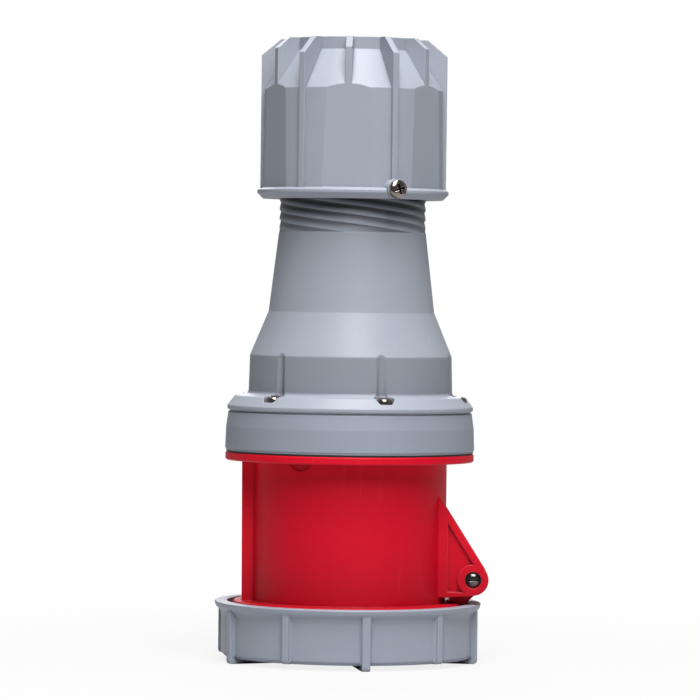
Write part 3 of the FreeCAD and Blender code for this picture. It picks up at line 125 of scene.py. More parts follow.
class Finish(Works):
    """The surface of one material, in Object coordinates."""

    SAMPLES = 6
    EDGE_MASK_FROM = 0.02
    EDGE_MASK_FULLY = 0.22

    def __init__(self, name):
        self.material = bpy.data.materials.new(name)
        self.material.use_nodes = True
        super().__init__(self.material.node_tree)
        self.tree.nodes.clear()
        self.place = self.node("ShaderNodeTexCoord", out="Object")

    def coordinates(self):
        """X, Y and Z, each as a signal of its own."""
        x = self.node("ShaderNodeSeparateXYZ", {}, {0: self.place}, "X")
        return x, x.beside("Y"), x.beside("Z")

    def winding(self):
        """The angle about Z as a share of a full turn, and the height."""
        x, y, z = self.coordinates()
        return y.maths("ARCTAN2", y, x) / math.tau, z

    def noise(self, size, detail, stretch=(1.0, 1.0, 1.0), shift=0.0):
        """Cloudy noise from 0 to 1 whose lumps are about size metres across."""
        place = self.node("ShaderNodeMapping", {}, {
            "Vector": self.place, "Scale": stretch, "Location": (shift, shift, shift)})
        return self.node("ShaderNodeTexNoise", {}, {
            "Vector": place, "Scale": 0.5 / size, "Detail": detail})

    def blend(self, factor, first, second):
        return self.node("ShaderNodeMix", {"data_type": "RGBA"}, {
            "Factor_Float": factor, "A_Color": first, "B_Color": second}, "Result_Color")

    def soft_edges(self, radius):
        """The normal with edges rounded by radius, and a mask that is 1 on those edges."""
        rounded = self.node("ShaderNodeBevel", {"samples": self.SAMPLES},
                            {"Radius": radius}, "Normal")
        sharp = self.node("ShaderNodeNewGeometry", out="Normal")
        cosine = self.node("ShaderNodeVectorMath", {"operation": "DOT_PRODUCT"},
                           {0: rounded, 1: sharp}, "Value")
        return rounded, (1.0 - cosine).ramp(self.EDGE_MASK_FROM, self.EDGE_MASK_FULLY)

    def hollows(self, reach, deep=0.25, shallow=0.85):
        """A mask that is 1 where walls within reach leave open less than the deep share of the
        sky, and 0 where they leave more than the shallow share."""
        open_sky = self.node("ShaderNodeAmbientOcclusion",
                             {"samples": self.SAMPLES, "only_local": True},
                             {"Distance": reach}, "AO")
        return 1.0 - open_sky.ramp(deep, shallow)

    def bump(self, height, depth, normal):
        return self.node("ShaderNodeBump", {}, {
            "Height": height, "Distance": depth, "Normal": normal})

    def close(self, colour, roughness, normal, **constants):
        values = {"Base Color": colour, "Roughness": roughness, "Normal": normal}
        values.update({name.replace("_", " "): value for name, value in constants.items()})
        surface = self.node("ShaderNodeBsdfPrincipled", {}, values)
        self.node("ShaderNodeOutputMaterial", {}, {"Surface": surface})
        return self.material


def shade(colour, by):
    """The colour made lighter or darker, in the form that a colour socket takes."""
    return tuple(min(1.0, part * by) for part in colour[:3]) + (1.0,)


def moulded(name, colour, roughness, edge, grain=0.00005, shift=0.0, shine=0.2, corner_shade=0.45,
            rubs_and_highlight=None, painted_shade=None, hollowed=None):
    """Moulded plastic: slow flow clouds, spark-eroded grain, fine rubs, painted shade in the
    corners, and edges lightened to the colour for rubs, partly by wear and partly as a painted
    highlight. The painted-shade function gives a mask of where more shade is painted, and
    hollowed(skin) one that is 1 in the depth of shallow moulded grooves."""
    groove_depth = 0.0007
    corner_reach = 0.0035
    skin = Finish(name)
    flow = skin.noise(0.03, 3.0, shift=shift)
    speckle = skin.noise(0.0007, 2.0, shift=shift)
    rub = skin.noise(0.0012, 3.0, stretch=(1.0, 1.0, 0.06), shift=shift).ramp(0.60, 0.72)
    patch = skin.noise(0.022, 2.0, shift=shift + 3.0).ramp(0.45, 0.75)
    scuffs = rub * patch
    shaded_corner = skin.hollows(corner_reach)
    rounded, edge_mask = skin.soft_edges(edge)
    base = skin.blend(flow.ramp(0.3, 0.7), shade(colour, 0.955), shade(colour, 1.035))
    base = skin.blend(speckle * 0.35, base, shade(colour, 0.86))
    # Painted shade in the corners, where nearby walls hide the sky.
    base = skin.blend(shaded_corner * corner_shade, base, shade(colour, 0.35))
    if painted_shade:
        # Painted shade wherever the given mask lays it.
        base = skin.blend(painted_shade(skin), base, shade(colour, 0.13))
    # Rubs are real wear; the edges are lightened partly by wear and partly as a painted highlight.
    base = skin.blend(scuffs * 0.10 + edge_mask * 0.34, base, rubs_and_highlight or shade(colour, 1.75))
    rough = roughness + (flow - 0.5) * 0.12 + (speckle - 0.5) * 0.10 + scuffs * 0.06 - edge_mask * 0.07
    height = skin.noise(0.00028, 2.0, shift=shift) + scuffs * -0.3 + flow * 1.5
    if hollowed:
        rounded = skin.bump(1.0 - hollowed(skin), groove_depth, rounded)
    return skin.close(base, rough, skin.bump(height, grain, rounded), Specular_IOR_Level=shine)


def coat(material, *nodes):
    """Gives CAD nodes their material in every slot."""
    for node in nodes:
        mesh = cad[node].data
        if not mesh.materials:
            mesh.materials.append(material)
        for slot in cad[node].material_slots:
            slot.material = material


MARK_ANGLE = math.radians(-119.7)
MARK_RADIUS = 0.0082
MARK_HEIGHT = 0.1045
MARK_SIDE = 0.046        # how far out a point has to lie towards the mark to be on its wall
MARK_SHADE = 0.30
UNDER_FLANGE = 0.1001
SHADED_BELOW = 0.028
UNSHADED_ABOVE = 0.068
FOOT_SHADE = 0.33


def barrel_shade(skin):
    """Painted shade that deepens over the barrel's last 40 mm above the ring, and some in the mark.
    """
    x, y, height = skin.coordinates()
    facing = x * math.cos(MARK_ANGLE) + y * math.sin(MARK_ANGLE)
    aside = y * math.cos(MARK_ANGLE) - x * math.sin(MARK_ANGLE)
    off = aside * aside + (height - MARK_HEIGHT) * (height - MARK_HEIGHT)
    on_wall = (facing > MARK_SIDE) * (1.0 - (height > UNDER_FLANGE))
    mark = (1.0 - off.ramp(0.9 * MARK_RADIUS ** 2, MARK_RADIUS ** 2)) * on_wall
    # Painted shade: darker towards the foot, and inside the mark.
    return (1.0 - height.ramp(SHADED_BELOW, UNSHADED_ABOVE)) * FOOT_SHADE + mark * MARK_SHADE


RED = (0.690, 0.0022, 0.0200)
# A pink for rubs and edges: on the edges it is partly wear and partly a painted highlight.
PINK_RUBS_AND_SHEEN = (1.0, 0.11, 0.14, 1.0)
# The barrel gets painted shade towards its foot and in the mark.
red_housing = moulded("red_front_housing", RED, roughness=0.47, edge=0.0008, rubs_and_highlight=PINK_RUBS_AND_SHEEN,
                      painted_shade=barrel_shade)
coat(red_housing, "front_housing")


# Ear roots: the webs that carry the two hinge ears into the barrel's round wall.
# They are one moulding with the red housing, and their faces run on from those of the ears.

EAR_INNER = 0.01132
EAR_OUTER = 0.01948
EAR_FOOT = 0.03342
EAR_TOUCH = Vector((0.068594, 0.046317))        # a point of the ears' sloping edge, as X and Z
EAR_CLIMB = 1.5697                              # how much that edge climbs towards the barrel
WEB = [(0.0456, EAR_INNER), (0.0480, EAR_INNER), (0.0480, EAR_OUTER), (0.0432, EAR_OUTER)]


def solid_mesh(name, foot, top):
    """A closed mesh between two rings of as many points, both anticlockwise from above."""
    count = len(foot)
    walls = [(k, (k + 1) % count, count + (k + 1) % count, count + k) for k in range(count)]
    caps = [tuple(reversed(range(count))), tuple(range(count, 2 * count))]
    mesh = bpy.data.meshes.new(name)
    mesh.from_pydata(foot + top, [], walls + caps)
    return mesh


near_web = [(x, -y) for x, y in reversed(WEB)]
for ear, outline in (("near", near_web), ("far", WEB)):
    web_foot = [(x, y, EAR_FOOT) for x, y in outline]
    web_top = [(x, y, EAR_TOUCH.y + (EAR_TOUCH.x - x) * EAR_CLIMB) for x, y in outline]
    web = bpy.data.objects.new(ear + "_ear_root",
                               solid_mesh(ear + "_ear_root", web_foot, web_top))
    bpy.context.scene.collection.objects.link(web)
    web.data.materials.append(red_housing)
    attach(web, "housing")


# Contact carrier and its cover: the dark blocks that hold the sleeves in the barrel.
# They are glass-filled nylon, duller and coarser than the shell.

CARRIER_GREY = (0.055, 0.058, 0.064)
coat(moulded("carrier_block", CARRIER_GREY, roughness=0.6, edge=0.0004, grain=0.00012, shift=1.0),
     "contact_carrier", "carrier_ring", "carrier_cover")


# Contact sleeves: five power sleeves and the pilot, turned from brass bar with square terminal
# heads, and the threaded brass inserts that are moulded into the flange for its screws.
# The turning leaves fine rings round them, and the brass has tarnished a little unevenly.

def turned_metal(name, colour, dull, roughness):
    """Turned metal: fine rings along Z, clouds of tarnish, and bright edges."""
    skin = Finish(name)
    rings = skin.noise(0.00035, 2.0, stretch=(0.05, 0.05, 1.0))
    tarnish = skin.noise(0.006, 4.0).ramp(0.42, 0.72)
    pits = skin.noise(0.0006, 3.0).ramp(0.66, 0.8)
    rounded, edge_mask = skin.soft_edges(0.0003)
    base = skin.blend(tarnish * 0.6 + pits * 0.3, colour, dull)
    base = skin.blend(edge_mask * 0.5, base, shade(colour, 1.25))
    rough = roughness + tarnish * 0.14 + (rings - 0.5) * 0.10 + pits * 0.15
    return skin.close(base, rough, skin.bump(rings + pits * -0.6, 0.00004, rounded), Metallic=1.0)


BRASS = (0.78, 0.56, 0.25, 1.0)
DULL_BRASS = (0.42, 0.27, 0.12, 1.0)
coat(turned_metal("turned_brass", BRASS, DULL_BRASS, 0.24),
     "contact_earth", "contact_phase_1", "contact_phase_2", "contact_phase_3", "contact_neutral",
     "contact_pilot", "flange_inserts")


# Screws inside: the terminals' set screws and those of the carrier, its cover and the retainer.
# They are steel with a thin bluish zinc plating, a little cloudy.

ZINC = (0.60, 0.61, 0.63, 1.0)
DULL_ZINC = (0.36, 0.36, 0.37, 1.0)
coat(turned_metal("zinc_screws", ZINC, DULL_ZINC, 0.30),
     "terminal_screws", "carrier_screws", "cover_screws", "retainer_screws")


# Seals: the ring between the housings, the lid's gasket and the cable's seal.
# They are moulded black rubber, dull, with a bloom of paler dust in patches.

def rubber(name, black, dusty):
    """Dull rubber: a fine grain, and dust that lies in patches and on the edges."""
    skin = Finish(name)
    bloom = skin.noise(0.008, 4.0).ramp(0.4, 0.8)
    grain = skin.noise(0.0004, 3.0)
    rounded, edge_mask = skin.soft_edges(0.0004)
    base = skin.blend(bloom * 0.5 + edge_mask * 0.2, black, dusty)
    rough = 0.62 + bloom * 0.16 + (grain - 0.5) * 0.1
    return skin.close(base, rough, skin.bump(grain, 0.00008, rounded))


coat(rubber("sealing_rubber", (0.012, 0.012, 0.013, 1.0), (0.045, 0.045, 0.046, 1.0)),
     "housing_seal", "lid_gasket", "cable_seal")


# Rear housing and spacer ring: the coned grey shell that the screws pull down on the red flange.
# Both are grey nylon from the same moulder, each with its own clouds and rubs.

SCREWS = 6
SCREW_FIRST = -72.6                  # degrees about Z
SCALLOP_RADIUS = 0.0025
SCALLOP_TOP = 0.1516
WALL_RADIUS = 0.0495
WALL_FOOT = (0.1335, 0.1340)
WALL_SHADE_STARTS = (0.1330, 0.1345)
WALL_SHADE_ENDS = (0.1515, 0.1535)
WALL_SHADE = 0.24


def shade_above_flange(skin):
    """Painted shade on the upright wall between the flange and the shoulder cone."""
    height = skin.coordinates()[2]
    return height.ramp(*WALL_SHADE_STARTS) * (1.0 - height.ramp(*WALL_SHADE_ENDS)) * WALL_SHADE


def scallops(skin):
    """The six round-topped grooves in the wall that let the driver past to the screws."""
    turn, height = skin.winding()
    from_first = turn - SCREW_FIRST / 360.0
    arc = math.tau / SCREWS * WALL_RADIUS
    aside = ((from_first * SCREWS + 0.5).fraction() - 0.5) * arc
    above = (height - SCALLOP_TOP).maths("MAXIMUM", height - SCALLOP_TOP, 0.0)
    off = (aside * aside + above * above) / SCALLOP_RADIUS ** 2
    return (1.0 - off).clamped() * height.ramp(*WALL_FOOT)


GREY = (0.330, 0.359, 0.416)
BLUISH_GREY = (0.325, 0.360, 0.428)
# The rear housing's upright wall above the flange is darkened as painted shade.
coat(moulded("grey_rear_housing", GREY, roughness=0.40, shine=0.3, edge=0.0009, shift=2.0,
             painted_shade=shade_above_flange, hollowed=scallops), "rear_housing")
coat(moulded("grey_spacer_ring", shade(BLUISH_GREY, 0.90), roughness=0.40, shine=0.3,
             edge=0.0008, shift=5.0), "spacer_ring")


# Spacer's lip: the thin edge that overhangs the black seal, so that only a line of it shows.
# It is one moulding with the spacer ring.

LIP_INNER = 0.0608
LIP_OUTER = 0.06186
LIP_LOW = 0.10508
LIP_HIGH = 0.10570


def circle(radius, height, around):
    """The points of a level circle about the vertical axis."""
    return [(radius * math.cos(math.tau * k / around), radius * math.sin(math.tau * k / around),
             height) for k in range(around)]


def hoop(name, inner, outer, low, high, around):
    """A flat-sided hoop about the vertical axis."""
    section = [(inner, low), (outer, low), (outer, high), (inner, high)]
    sides = [circle(radius, height, around) for radius, height in section]
    points = [point for spoke in zip(*sides) for point in spoke]
    count = len(points)
    faces = [(4 * k + side, (4 * k + side + 4) % count, (4 * k + (side + 1) % 4 + 4) % count,
              4 * k + (side + 1) % 4) for k in range(around) for side in range(4)]
    mesh = bpy.data.meshes.new(name)
    mesh.from_pydata(points, [], faces)
    made = bpy.data.objects.new(name, mesh)
    bpy.context.scene.collection.objects.link(made)
    return made


spacer_lip = hoop("spacer_lip", LIP_INNER, LIP_OUTER, LIP_LOW, LIP_HIGH, around=192)
spacer_lip.data.materials.append(cad["spacer_ring"].material_slots[0].material)
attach(spacer_lip, "housing")


# Neck thread: six coarse left-hand threads moulded on the neck, on which the gland nut climbs.
# Their grooves are rounded and fade out into the cone below, and the crests are narrow.
# Shade is painted under the crests, darkest close to the nut, where its shadow falls.

class Recipe(Works):
    """A Geometry Nodes tree with named sizes, which make() turns into a plain mesh."""

    def __init__(self, name, sizes):
        super().__init__(bpy.data.node_groups.new(name, "GeometryNodeTree"))
        self.tree.interface.new_socket(
            "Geometry", in_out="OUTPUT", socket_type="NodeSocketGeometry")
        self.name = name
        self.values = {}
        for label, value in sizes.items():
            kind = "NodeSocketInt" if isinstance(value, int) else "NodeSocketFloat"
            socket = self.tree.interface.new_socket(label, in_out="INPUT", socket_type=kind)
            self.values[socket.identifier] = value
        self.entry = self.tree.nodes.new("NodeGroupInput")

    def size(self, label):
        return Signal(self, self.entry.outputs[label])

    def vector(self, **parts):
        """A vector of X, Y and Z, in which a part that isn't given is 0."""
        return self.node("ShaderNodeCombineXYZ", {}, parts)

    def moved(self, geometry, **ways):
        """The geometry after a Rotation, a Translation, or both in that order."""
        return self.node("GeometryNodeTransform", {}, {"Geometry": geometry, **ways})

    def make(self, geometry, material):
        real = self.node("GeometryNodeRealizeInstances", {}, {"Geometry": geometry})
        painted = self.node("GeometryNodeSetMaterial", {}, {
            "Geometry": real, "Material": material})
        self.node("NodeGroupOutput", {}, {0: painted})
        blank = bpy.data.objects.new(self.name, bpy.data.meshes.new(self.name + "_blank"))
        bpy.context.scene.collection.objects.link(blank)
        step = blank.modifiers.new(self.name, "NODES")
        step.node_group = self.tree
        for key, value in self.values.items():
            step[key] = value
        graph = bpy.context.evaluated_depsgraph_get()
        mesh = bpy.data.meshes.new_from_object(blank.evaluated_get(graph), depsgraph=graph)
        blank.modifiers.clear()
        blank.data = mesh
        return blank


THREAD = {
    "Rows": 170, "Columns": 289, "Starts": 6, "Lead": 0.0276, "Foot": 0.2138, "Top": 0.2618,
    "Crest radius": 0.0365, "Root radius": 0.0359, "Inner radius": 0.0352,
}
GROOVE_OPENS = (0.02, 0.80)          # shares of the way from one crest to the next
GROOVE_CLOSES = (0.84, 0.97)
RUN_OUT = 0.0042
WELD = 0.000001

thread = Recipe("neck_thread", THREAD)
rows, starts, lead = (thread.size(label) for label in ("Rows", "Starts", "Lead"))
lowest, highest = thread.size("Foot"), thread.size("Top")
crest, root = thread.size("Crest radius"), thread.size("Root radius")
sheet = thread.node("GeometryNodeMeshGrid", {}, {
    "Size X": 1.0, "Size Y": 1.0, "Vertices X": thread.size("Columns"), "Vertices Y": rows}, "Mesh")
spot = thread.node("ShaderNodeSeparateXYZ", {}, {0: thread.node("GeometryNodeInputPosition")}, "X")
across = spot + 0.5
row = (spot.beside("Y") + 0.5) * (rows - 1)
last = row > rows - 1.5
inside = 1.0 - (row > 0.5) * (1.0 - (row > rows - 2.5))
climb = ((row - 1.0) / (rows - 4)).clamped() * (1.0 - last)
level = lowest + (highest - lowest) * climb
phase = ((across + level / lead) * starts).fraction()
groove = phase.ramp(*GROOVE_OPENS) * (1.0 - phase.ramp(*GROOVE_CLOSES))
outer = crest - (crest - root) * groove * (level - lowest).ramp(0.0, RUN_OUT)
radius = outer + (thread.size("Inner radius") - outer) * inside
angle = across * math.tau
wrapped = thread.node("GeometryNodeSetPosition", {}, {
    "Geometry": sheet,
    "Position": thread.vector(X=radius * angle.cosine(), Y=radius * angle.sine(), Z=level)})
closed = thread.node("GeometryNodeMergeByDistance", {}, {"Geometry": wrapped, "Distance": WELD})
smooth = thread.node("GeometryNodeSetShadeSmooth", {}, {"Geometry": closed})


def crest_and_nut_shade(skin):
    """Painted shade under each crest, and the nut's painted shadow, darkest near the nut."""
    turn, height = skin.winding()
    along = ((turn + height / THREAD["Lead"]) * THREAD["Starts"]).fraction()
    nut_shadow = height.ramp(THREAD["Foot"], THREAD["Foot"] + 0.022)
    crest_shade = along.ramp(0.05, 0.65) * (1.0 - along.ramp(0.92, 0.98))
    return (crest_shade * (0.62 + nut_shadow * 0.30) + nut_shadow * 0.40).clamped()


# Painted shade under the crests, below the nut and in the corners.
neck_coat = moulded("grey_neck_thread", GREY, roughness=0.40, shine=0.3, edge=0.0003, shift=2.0,
                    corner_shade=0.6, painted_shade=crest_and_nut_shade)
neck_thread = thread.make(smooth, neck_coat)
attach(neck_thread, "housing")


# Flange screws and lock screw: cross-recess pan heads that hold the housings together and stop
# the nut. They are nickel plated steel, bright, with a faint warm tone.
# Each flange screw came to rest with its cross at another angle.

def plated(name, colour, recess_shade):
    """Bright plating: fine scratches, brown stains, painted shade in the recess and edges lightened
    as a painted highlight.
    """
    brown = (0.20, 0.13, 0.085, 1.0)
    skin = Finish(name)
    scratch = skin.noise(0.0004, 3.0, stretch=(1.0, 0.15, 0.4))
    stain = skin.noise(0.0022, 3.0).ramp(0.48, 0.70)
    shaded_hollow = skin.hollows(0.0024, deep=0.55, shallow=0.90)
    rounded, edge_mask = skin.soft_edges(0.00035)
    base = skin.blend(stain * 0.45, colour, brown)
    # Painted highlight: edges lightened to bright rims.
    base = skin.blend(edge_mask * 0.7, base, shade(colour, 2.6))
    # Painted shade: the recess darkened to the recess colour.
    base = skin.blend(shaded_hollow, base, recess_shade)
    rough = 0.08 + scratch * 0.08 + stain * 0.10 + shaded_hollow * 0.2
    return skin.close(base, rough, skin.bump(scratch, 0.00002, rounded), Metallic=1.0)


NICKEL = (0.30, 0.27, 0.235, 1.0)
# The dark colour of the screws' recesses is painted shade.
NICKEL_RECESS_SHADE = (0.030, 0.024, 0.020, 1.0)
nickel = plated("nickel_screws", NICKEL, NICKEL_RECESS_SHADE)


def screw(name, head_radius, head_height, shank_radius, shank_length):
    """A pan head screw along Z, turned in one, with its head standing on Z = 0."""
    around, rim, tip = 48, 0.00015, 0.0008
    crown = head_height * 0.42
    profile = [(shank_radius * 0.7, -shank_length), (shank_radius, tip - shank_length),
               (shank_radius, 0.0), (head_radius - rim, 0.0), (head_radius, rim),
               (head_radius, crown)]
    for degrees in (9.5 * step for step in range(1, 10)):
        rise = math.radians(degrees)
        profile.append((head_radius * math.cos(rise),
                        crown + (head_height - crown) * math.sin(rise)))
    points = [point for radius, height in profile for point in circle(radius, height, around)]
    faces = [tuple(reversed(range(around))), tuple(range(len(points) - around, len(points)))]
    for low in range(0, len(points) - around, around):
        for k in range(around):
            after = (k + 1) % around
            faces.append((low + k, low + after, low + around + after, low + around + k))
    mesh = bpy.data.meshes.new(name)
    mesh.from_pydata(points, [], faces)
    return bpy.data.objects.new(name, mesh)


def crossed(recipe, master):
    """The screw with its cross recess: two bars cut out of the head, narrower than deep."""
    cut = recipe.node("GeometryNodeObjectInfo", {}, {"Object": master}, "Geometry")
    for quarter in (0.0, math.pi / 2):
        bar = recipe.node("GeometryNodeMeshCube", {}, {"Size": recipe.vector(
            X=recipe.size("Cross span"), Y=recipe.size("Cross width"),
            Z=recipe.size("Cross depth") * 2)}, "Mesh")
        bar = recipe.moved(bar, Translation=recipe.vector(Z=recipe.size("Head height")),
                           Rotation=(0.0, 0.0, quarter))
        cut = recipe.node("GeometryNodeMeshBoolean", {"operation": "DIFFERENCE"},
                          {"Mesh 1": cut, "Mesh 2": bar}, "Mesh")
    return cut


FLANGE_HEAD = 0.0036
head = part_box("flange_screws")
flange_seat = head[1][2] - FLANGE_HEAD
flange = Recipe("flange_screw_set", {
    "Screws": SCREWS, "Circle radius": 0.05525, "Seat": flange_seat, "Head height": FLANGE_HEAD,
    "Cross span": 0.0046, "Cross width": 0.0009, "Cross depth": 0.0014,
    "First angle": math.radians(SCREW_FIRST), "Turn between crosses": 0.83,
})
flange_master = screw("flange_screw_master", head_radius=0.0041, head_height=FLANGE_HEAD,
                      shank_radius=0.0020, shank_length=flange_seat - head[0][2])
seats = flange.node("GeometryNodeMeshCircle", {}, {
    "Vertices": flange.size("Screws"), "Radius": flange.size("Circle radius")}, "Mesh")
seats = flange.moved(seats, Translation=flange.vector(Z=flange.size("Seat")),
                     Rotation=flange.vector(Z=flange.size("First angle")))
spin = flange.node("GeometryNodeInputIndex") * flange.size("Turn between crosses")
set_of_six = flange.node("GeometryNodeInstanceOnPoints", {}, {
    "Points": seats, "Instance": crossed(flange, flange_master), "Rotation": flange.vector(Z=spin)})
flange_screws = flange.make(set_of_six, nickel)
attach(flange_screws, "housing")
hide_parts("flange_screws")

LOCK_HEAD = 0.0031
lock_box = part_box("gland_lock_screw")
lock = Recipe("gland_lock_screw_head", {
    "Seat radius": 0.0492, "Level": (lock_box[0][2] + lock_box[1][2]) / 2,
    "Head height": LOCK_HEAD, "Cross span": 0.0056, "Cross width": 0.0011, "Cross depth": 0.0016,
    "Angle": math.radians(-63.8), "Cross turn": 0.30,
})
lock_master = screw("lock_screw_master", head_radius=0.0046, head_height=LOCK_HEAD,
                    shank_radius=0.0024, shank_length=0.0109)
upright = lock.moved(crossed(lock, lock_master), Rotation=lock.vector(Z=lock.size("Cross turn")))
lying = lock.moved(upright, Rotation=(0.0, math.pi / 2, 0.0),
                   Translation=lock.vector(X=lock.size("Seat radius"), Z=lock.size("Level")))
in_place = lock.moved(lying, Rotation=lock.vector(Z=lock.size("Angle")))
lock_screw = lock.make(in_place, nickel)
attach(lock_screw, "gland_nut")
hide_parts("gland_lock_screw")
for screw_master in (flange_master, lock_master):
    bpy.data.objects.remove(screw_master)


# Gland nut: the big ribbed and flatted nut that squeezes the cable's seal.
# It is the same grey nylon, with ribs for the hand and flats for a spanner.

coat(moulded("grey_gland_nut", GREY, roughness=0.40, shine=0.3, edge=0.0007, shift=8.0),
     "gland_nut")


# Gland inside: the white slip ring under the nut, and the black cage whose fingers hold the cable.
# Both are acetal, smoother than the housings.

WHITE_ACETAL = (0.66, 0.66, 0.63)
BLACK_ACETAL = (0.022, 0.022, 0.024)
coat(moulded("white_slip_ring", WHITE_ACETAL, roughness=0.35, edge=0.0003), "pressure_ring")
coat(moulded("black_gland_cage", BLACK_ACETAL, roughness=0.4, edge=0.0003), "clamping_cage")


# Lid and its retainer: the red lid with its hinge arm, and the disc that keeps the locking ring
# on it. The lid is moulded in the red of the barrel, and the disc in the black of the cage.

coat(moulded("red_lid", RED, roughness=0.47, edge=0.0006, shift=4.0), "lid")
coat(moulded("black_retainer", BLACK_ACETAL, roughness=0.45, edge=0.0004), "ring_retainer")


# Locking ring: the grey bayonet ring with ten grip ribs, which turns on the lid to draw it shut.
# It is grey nylon, and its ribs' ends are rubbed by the bench it stands on; its edges are lightened
# partly as wear and partly as a painted highlight.
# The mould rounds the corners between ribs and wall, wider towards the top.

grey_ring = moulded("grey_locking_ring", BLUISH_GREY, roughness=0.40, shine=0.3, edge=0.0012,
                    shift=6.0)
coat(grey_ring, "locking_ring")

RING_WALL = 0.0632
RIBS = 5                             # of each width
RIB_FIRST = math.radians(-81.7)
RIB_PITCH = math.tau / RIBS
WIDE_HALF = 0.002
SLIM_HALF = 0.00175
FILLET_LOW, FILLET_HIGH = 0.0032, 0.0262
SIZE_LOW, SIZE_HIGH = 0.0008, 0.0015
IN_RIB = 0.0004
IN_WALL = 0.0006
SINK = 0.0001                        # by which the fillet's end dips into the wall


def fillet(half_width, size, level, side):
    """The outline, at one level, of the rounded corner between a rib along X and the wall."""
    steps = 6
    buried = half_width - IN_RIB
    points = [(RING_WALL - IN_WALL, buried), (RING_WALL + size, buried)]
    for step in range(steps + 1):
        bend = math.pi / 2 * step / steps
        points.append((RING_WALL + size * (1.0 - math.sin(bend)) - SINK * step / steps,
                       half_width + size * (1.0 - math.cos(bend))))
    points.append((RING_WALL - IN_WALL, half_width + size))
    placed = [(x, side * y, level) for x, y in points]
    return placed if side > 0 else placed[::-1]


for label, half_width, first in (("wide", WIDE_HALF, RIB_FIRST),
                                 ("slim", SLIM_HALF, RIB_FIRST + math.pi / RIBS)):
    ribs = Recipe(label + "_rib_fillets", {
        "Ribs": RIBS, "First angle": first, "Pitch": RIB_PITCH})
    pair = ribs.node("GeometryNodeJoinGeometry")
    fillet_masters = []
    for side in (1, -1):
        mesh = solid_mesh(label + "_rib_fillet", fillet(half_width, SIZE_LOW, FILLET_LOW, side),
                          fillet(half_width, SIZE_HIGH, FILLET_HIGH, side))
        fillet_masters.append(bpy.data.objects.new(label + "_rib_fillet", mesh))
        one = ribs.node("GeometryNodeObjectInfo", {}, {"Object": fillet_masters[-1]}, "Geometry")
        ribs.tree.links.new(one.socket, pair.socket.node.inputs["Geometry"])
    hubs = ribs.node("GeometryNodeMeshCircle", {}, {
        "Vertices": ribs.size("Ribs"), "Radius": 0.0}, "Mesh")
    bearing = ribs.node("GeometryNodeInputIndex") * ribs.size("Pitch") + ribs.size("First angle")
    all_round = ribs.node("GeometryNodeInstanceOnPoints", {}, {
        "Points": hubs, "Instance": pair, "Rotation": ribs.vector(Z=bearing)})
    fillets = ribs.make(all_round, grey_ring)
    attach(fillets, "locking_ring")
    for fillet_master in fillet_masters:
        bpy.data.objects.remove(fillet_master)


# Hinge pin and spring: the pin through ears and knuckles, and the wire that throws the lid shut.
# The pin is blackened steel, domed at both ends and slotted at one, and the spring is bare wire.

BLACKENED = (0.13, 0.13, 0.14, 1.0)
# The near-black colour of the pin's slot and end recess is painted shade.
PIN_RECESS_SHADE = (0.004, 0.004, 0.004, 1.0)
WIRE = (0.66, 0.66, 0.67, 1.0)
DULL_WIRE = (0.4, 0.4, 0.41, 1.0)
coat(plated("blackened_pin", BLACKENED, PIN_RECESS_SHADE), "hinge_pin")
coat(turned_metal("spring_wire", WIRE, DULL_WIRE, 0.2), "hinge_spring")


# Floor, lamps and camera: a pale table under plain soft studio light, from the photo's place.
# The camera sees white behind the part, and the floor keeps the part's shadow.
# What shiny faces mirror is darker than that: a shaded room in front and a lit wall behind.

TABLE = 0.6
PAPER = (0.5, 0.5, 0.5, 1.0)
WHITE = (1.0, 1.0, 1.0, 1.0)
SHADOW_SPREAD = (0.08, 0.5)          # metres from the axis over which the table turns white
NEAR_GLOW = 0.84                     # the share of white in the table that is close to the part
floor_mesh = bpy.data.meshes.new("floor")
table_corners = [(-TABLE, -TABLE, 0), (TABLE, -TABLE, 0), (TABLE, TABLE, 0), (-TABLE, TABLE, 0)]
floor_mesh.from_pydata(table_corners, [], [(0, 1, 2, 3)])
floor = bpy.data.objects.new("floor", floor_mesh)
bpy.context.scene.collection.objects.link(floor)
table = Finish("pale_table")
matt = table.node("ShaderNodeBsdfDiffuse", {}, {"Color": PAPER})
glow = table.node("ShaderNodeEmission", {}, {"Color": WHITE, "Strength": 1.0})
seen = table.node("ShaderNodeLightPath", out="Is Camera Ray")
from_axis = table.node("ShaderNodeVectorMath", {"operation": "LENGTH"}, {0: table.place}, "Value")
whiteness = NEAR_GLOW + from_axis.ramp(*SHADOW_SPREAD) * (1.0 - NEAR_GLOW)
mixed = table.node("ShaderNodeMixShader", {}, {0: seen * whiteness, 1: matt, 2: glow})
table.node("ShaderNodeOutputMaterial", {}, {"Surface": mixed})
floor_mesh.materials.append(table.material)

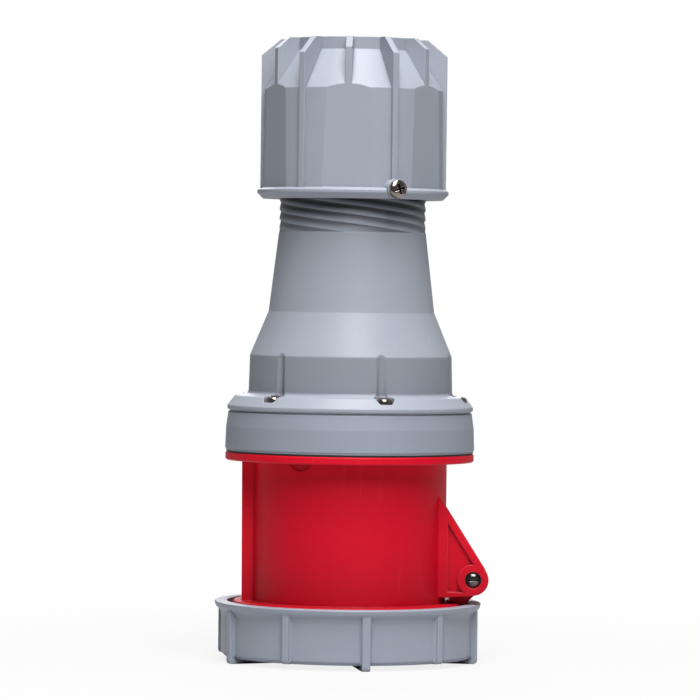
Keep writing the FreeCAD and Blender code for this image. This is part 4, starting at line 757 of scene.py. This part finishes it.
SHADED_ROOM = 0.12
LIT_WALL = 0.35
WALL_BLENDS = (-0.5, 0.4)            # from in front to behind, as the Y of a ray's direction
sky = bpy.data.worlds.new("studio")
sky.use_nodes = True
sky.node_tree.nodes.clear()
room = Works(sky.node_tree)
camera_ray = room.node("ShaderNodeLightPath", out="Is Camera Ray")
other_rays = camera_ray.beside("Is Glossy Ray") + camera_ray.beside("Is Transmission Ray")
way = room.node("ShaderNodeTexCoord", out="Generated")
behind = room.node("ShaderNodeSeparateXYZ", {}, {0: way}, "Y").ramp(*WALL_BLENDS)
seen_in_gloss = SHADED_ROOM + behind * (LIT_WALL - SHADED_ROOM)
strength = (camera_ray + other_rays * seen_in_gloss).clamped()
backdrop = room.node("ShaderNodeBackground", {}, {"Color": WHITE, "Strength": strength})
room.node("ShaderNodeOutputWorld", {}, {"Surface": backdrop})
bpy.context.scene.world = sky


def lamp(name, place, power):
    """A soft box of that power, in watts, which faces the part's middle."""
    data = bpy.data.lights.new(name, "AREA")
    data.shape = "SQUARE"
    data.size = 0.9
    data.energy = power
    made = bpy.data.objects.new(name, data)
    bpy.context.scene.collection.objects.link(made)
    made.location = place
    aim = Vector((0.0, 0.0, 0.16)) - Vector(place)
    made.rotation_euler = aim.to_track_quat("-Z", "Y").to_euler()


lamp("overhead_box", (0.058, -0.410, 1.706), 32.0)
lamp("front_box", (0.166, -1.177, 1.231), 20.0)
lamp("rear_box", (-0.10, 1.35, 1.05), 15.0)

DISTANCE = 2.25
EYE_HEIGHT = 0.1930
AIM_HEIGHT = 0.1554
SIDE_STEP = -0.00045
ROLL = math.radians(0.74)
SENSOR = 36.0                        # millimetres
FOCAL_PIXELS = 4500.0
PHOTO_PIXELS = 700.0
camera_data = bpy.data.cameras.new("camera")
camera_data.sensor_width = SENSOR
camera_data.lens = FOCAL_PIXELS / PHOTO_PIXELS * SENSOR
camera_data.clip_start = 0.1
camera = bpy.data.objects.new("camera", camera_data)
bpy.context.scene.collection.objects.link(camera)
camera.location = (SIDE_STEP, -DISTANCE, EYE_HEIGHT)
gaze = Vector((SIDE_STEP, 0.0, AIM_HEIGHT)) - camera.location
level_view = gaze.to_track_quat("-Z", "Y").to_matrix()
camera.rotation_euler = (level_view @ Matrix.Rotation(ROLL, 3, "Z")).to_euler()
bpy.context.scene.camera = camera
bpy.context.scene.view_settings.view_transform = "Standard"
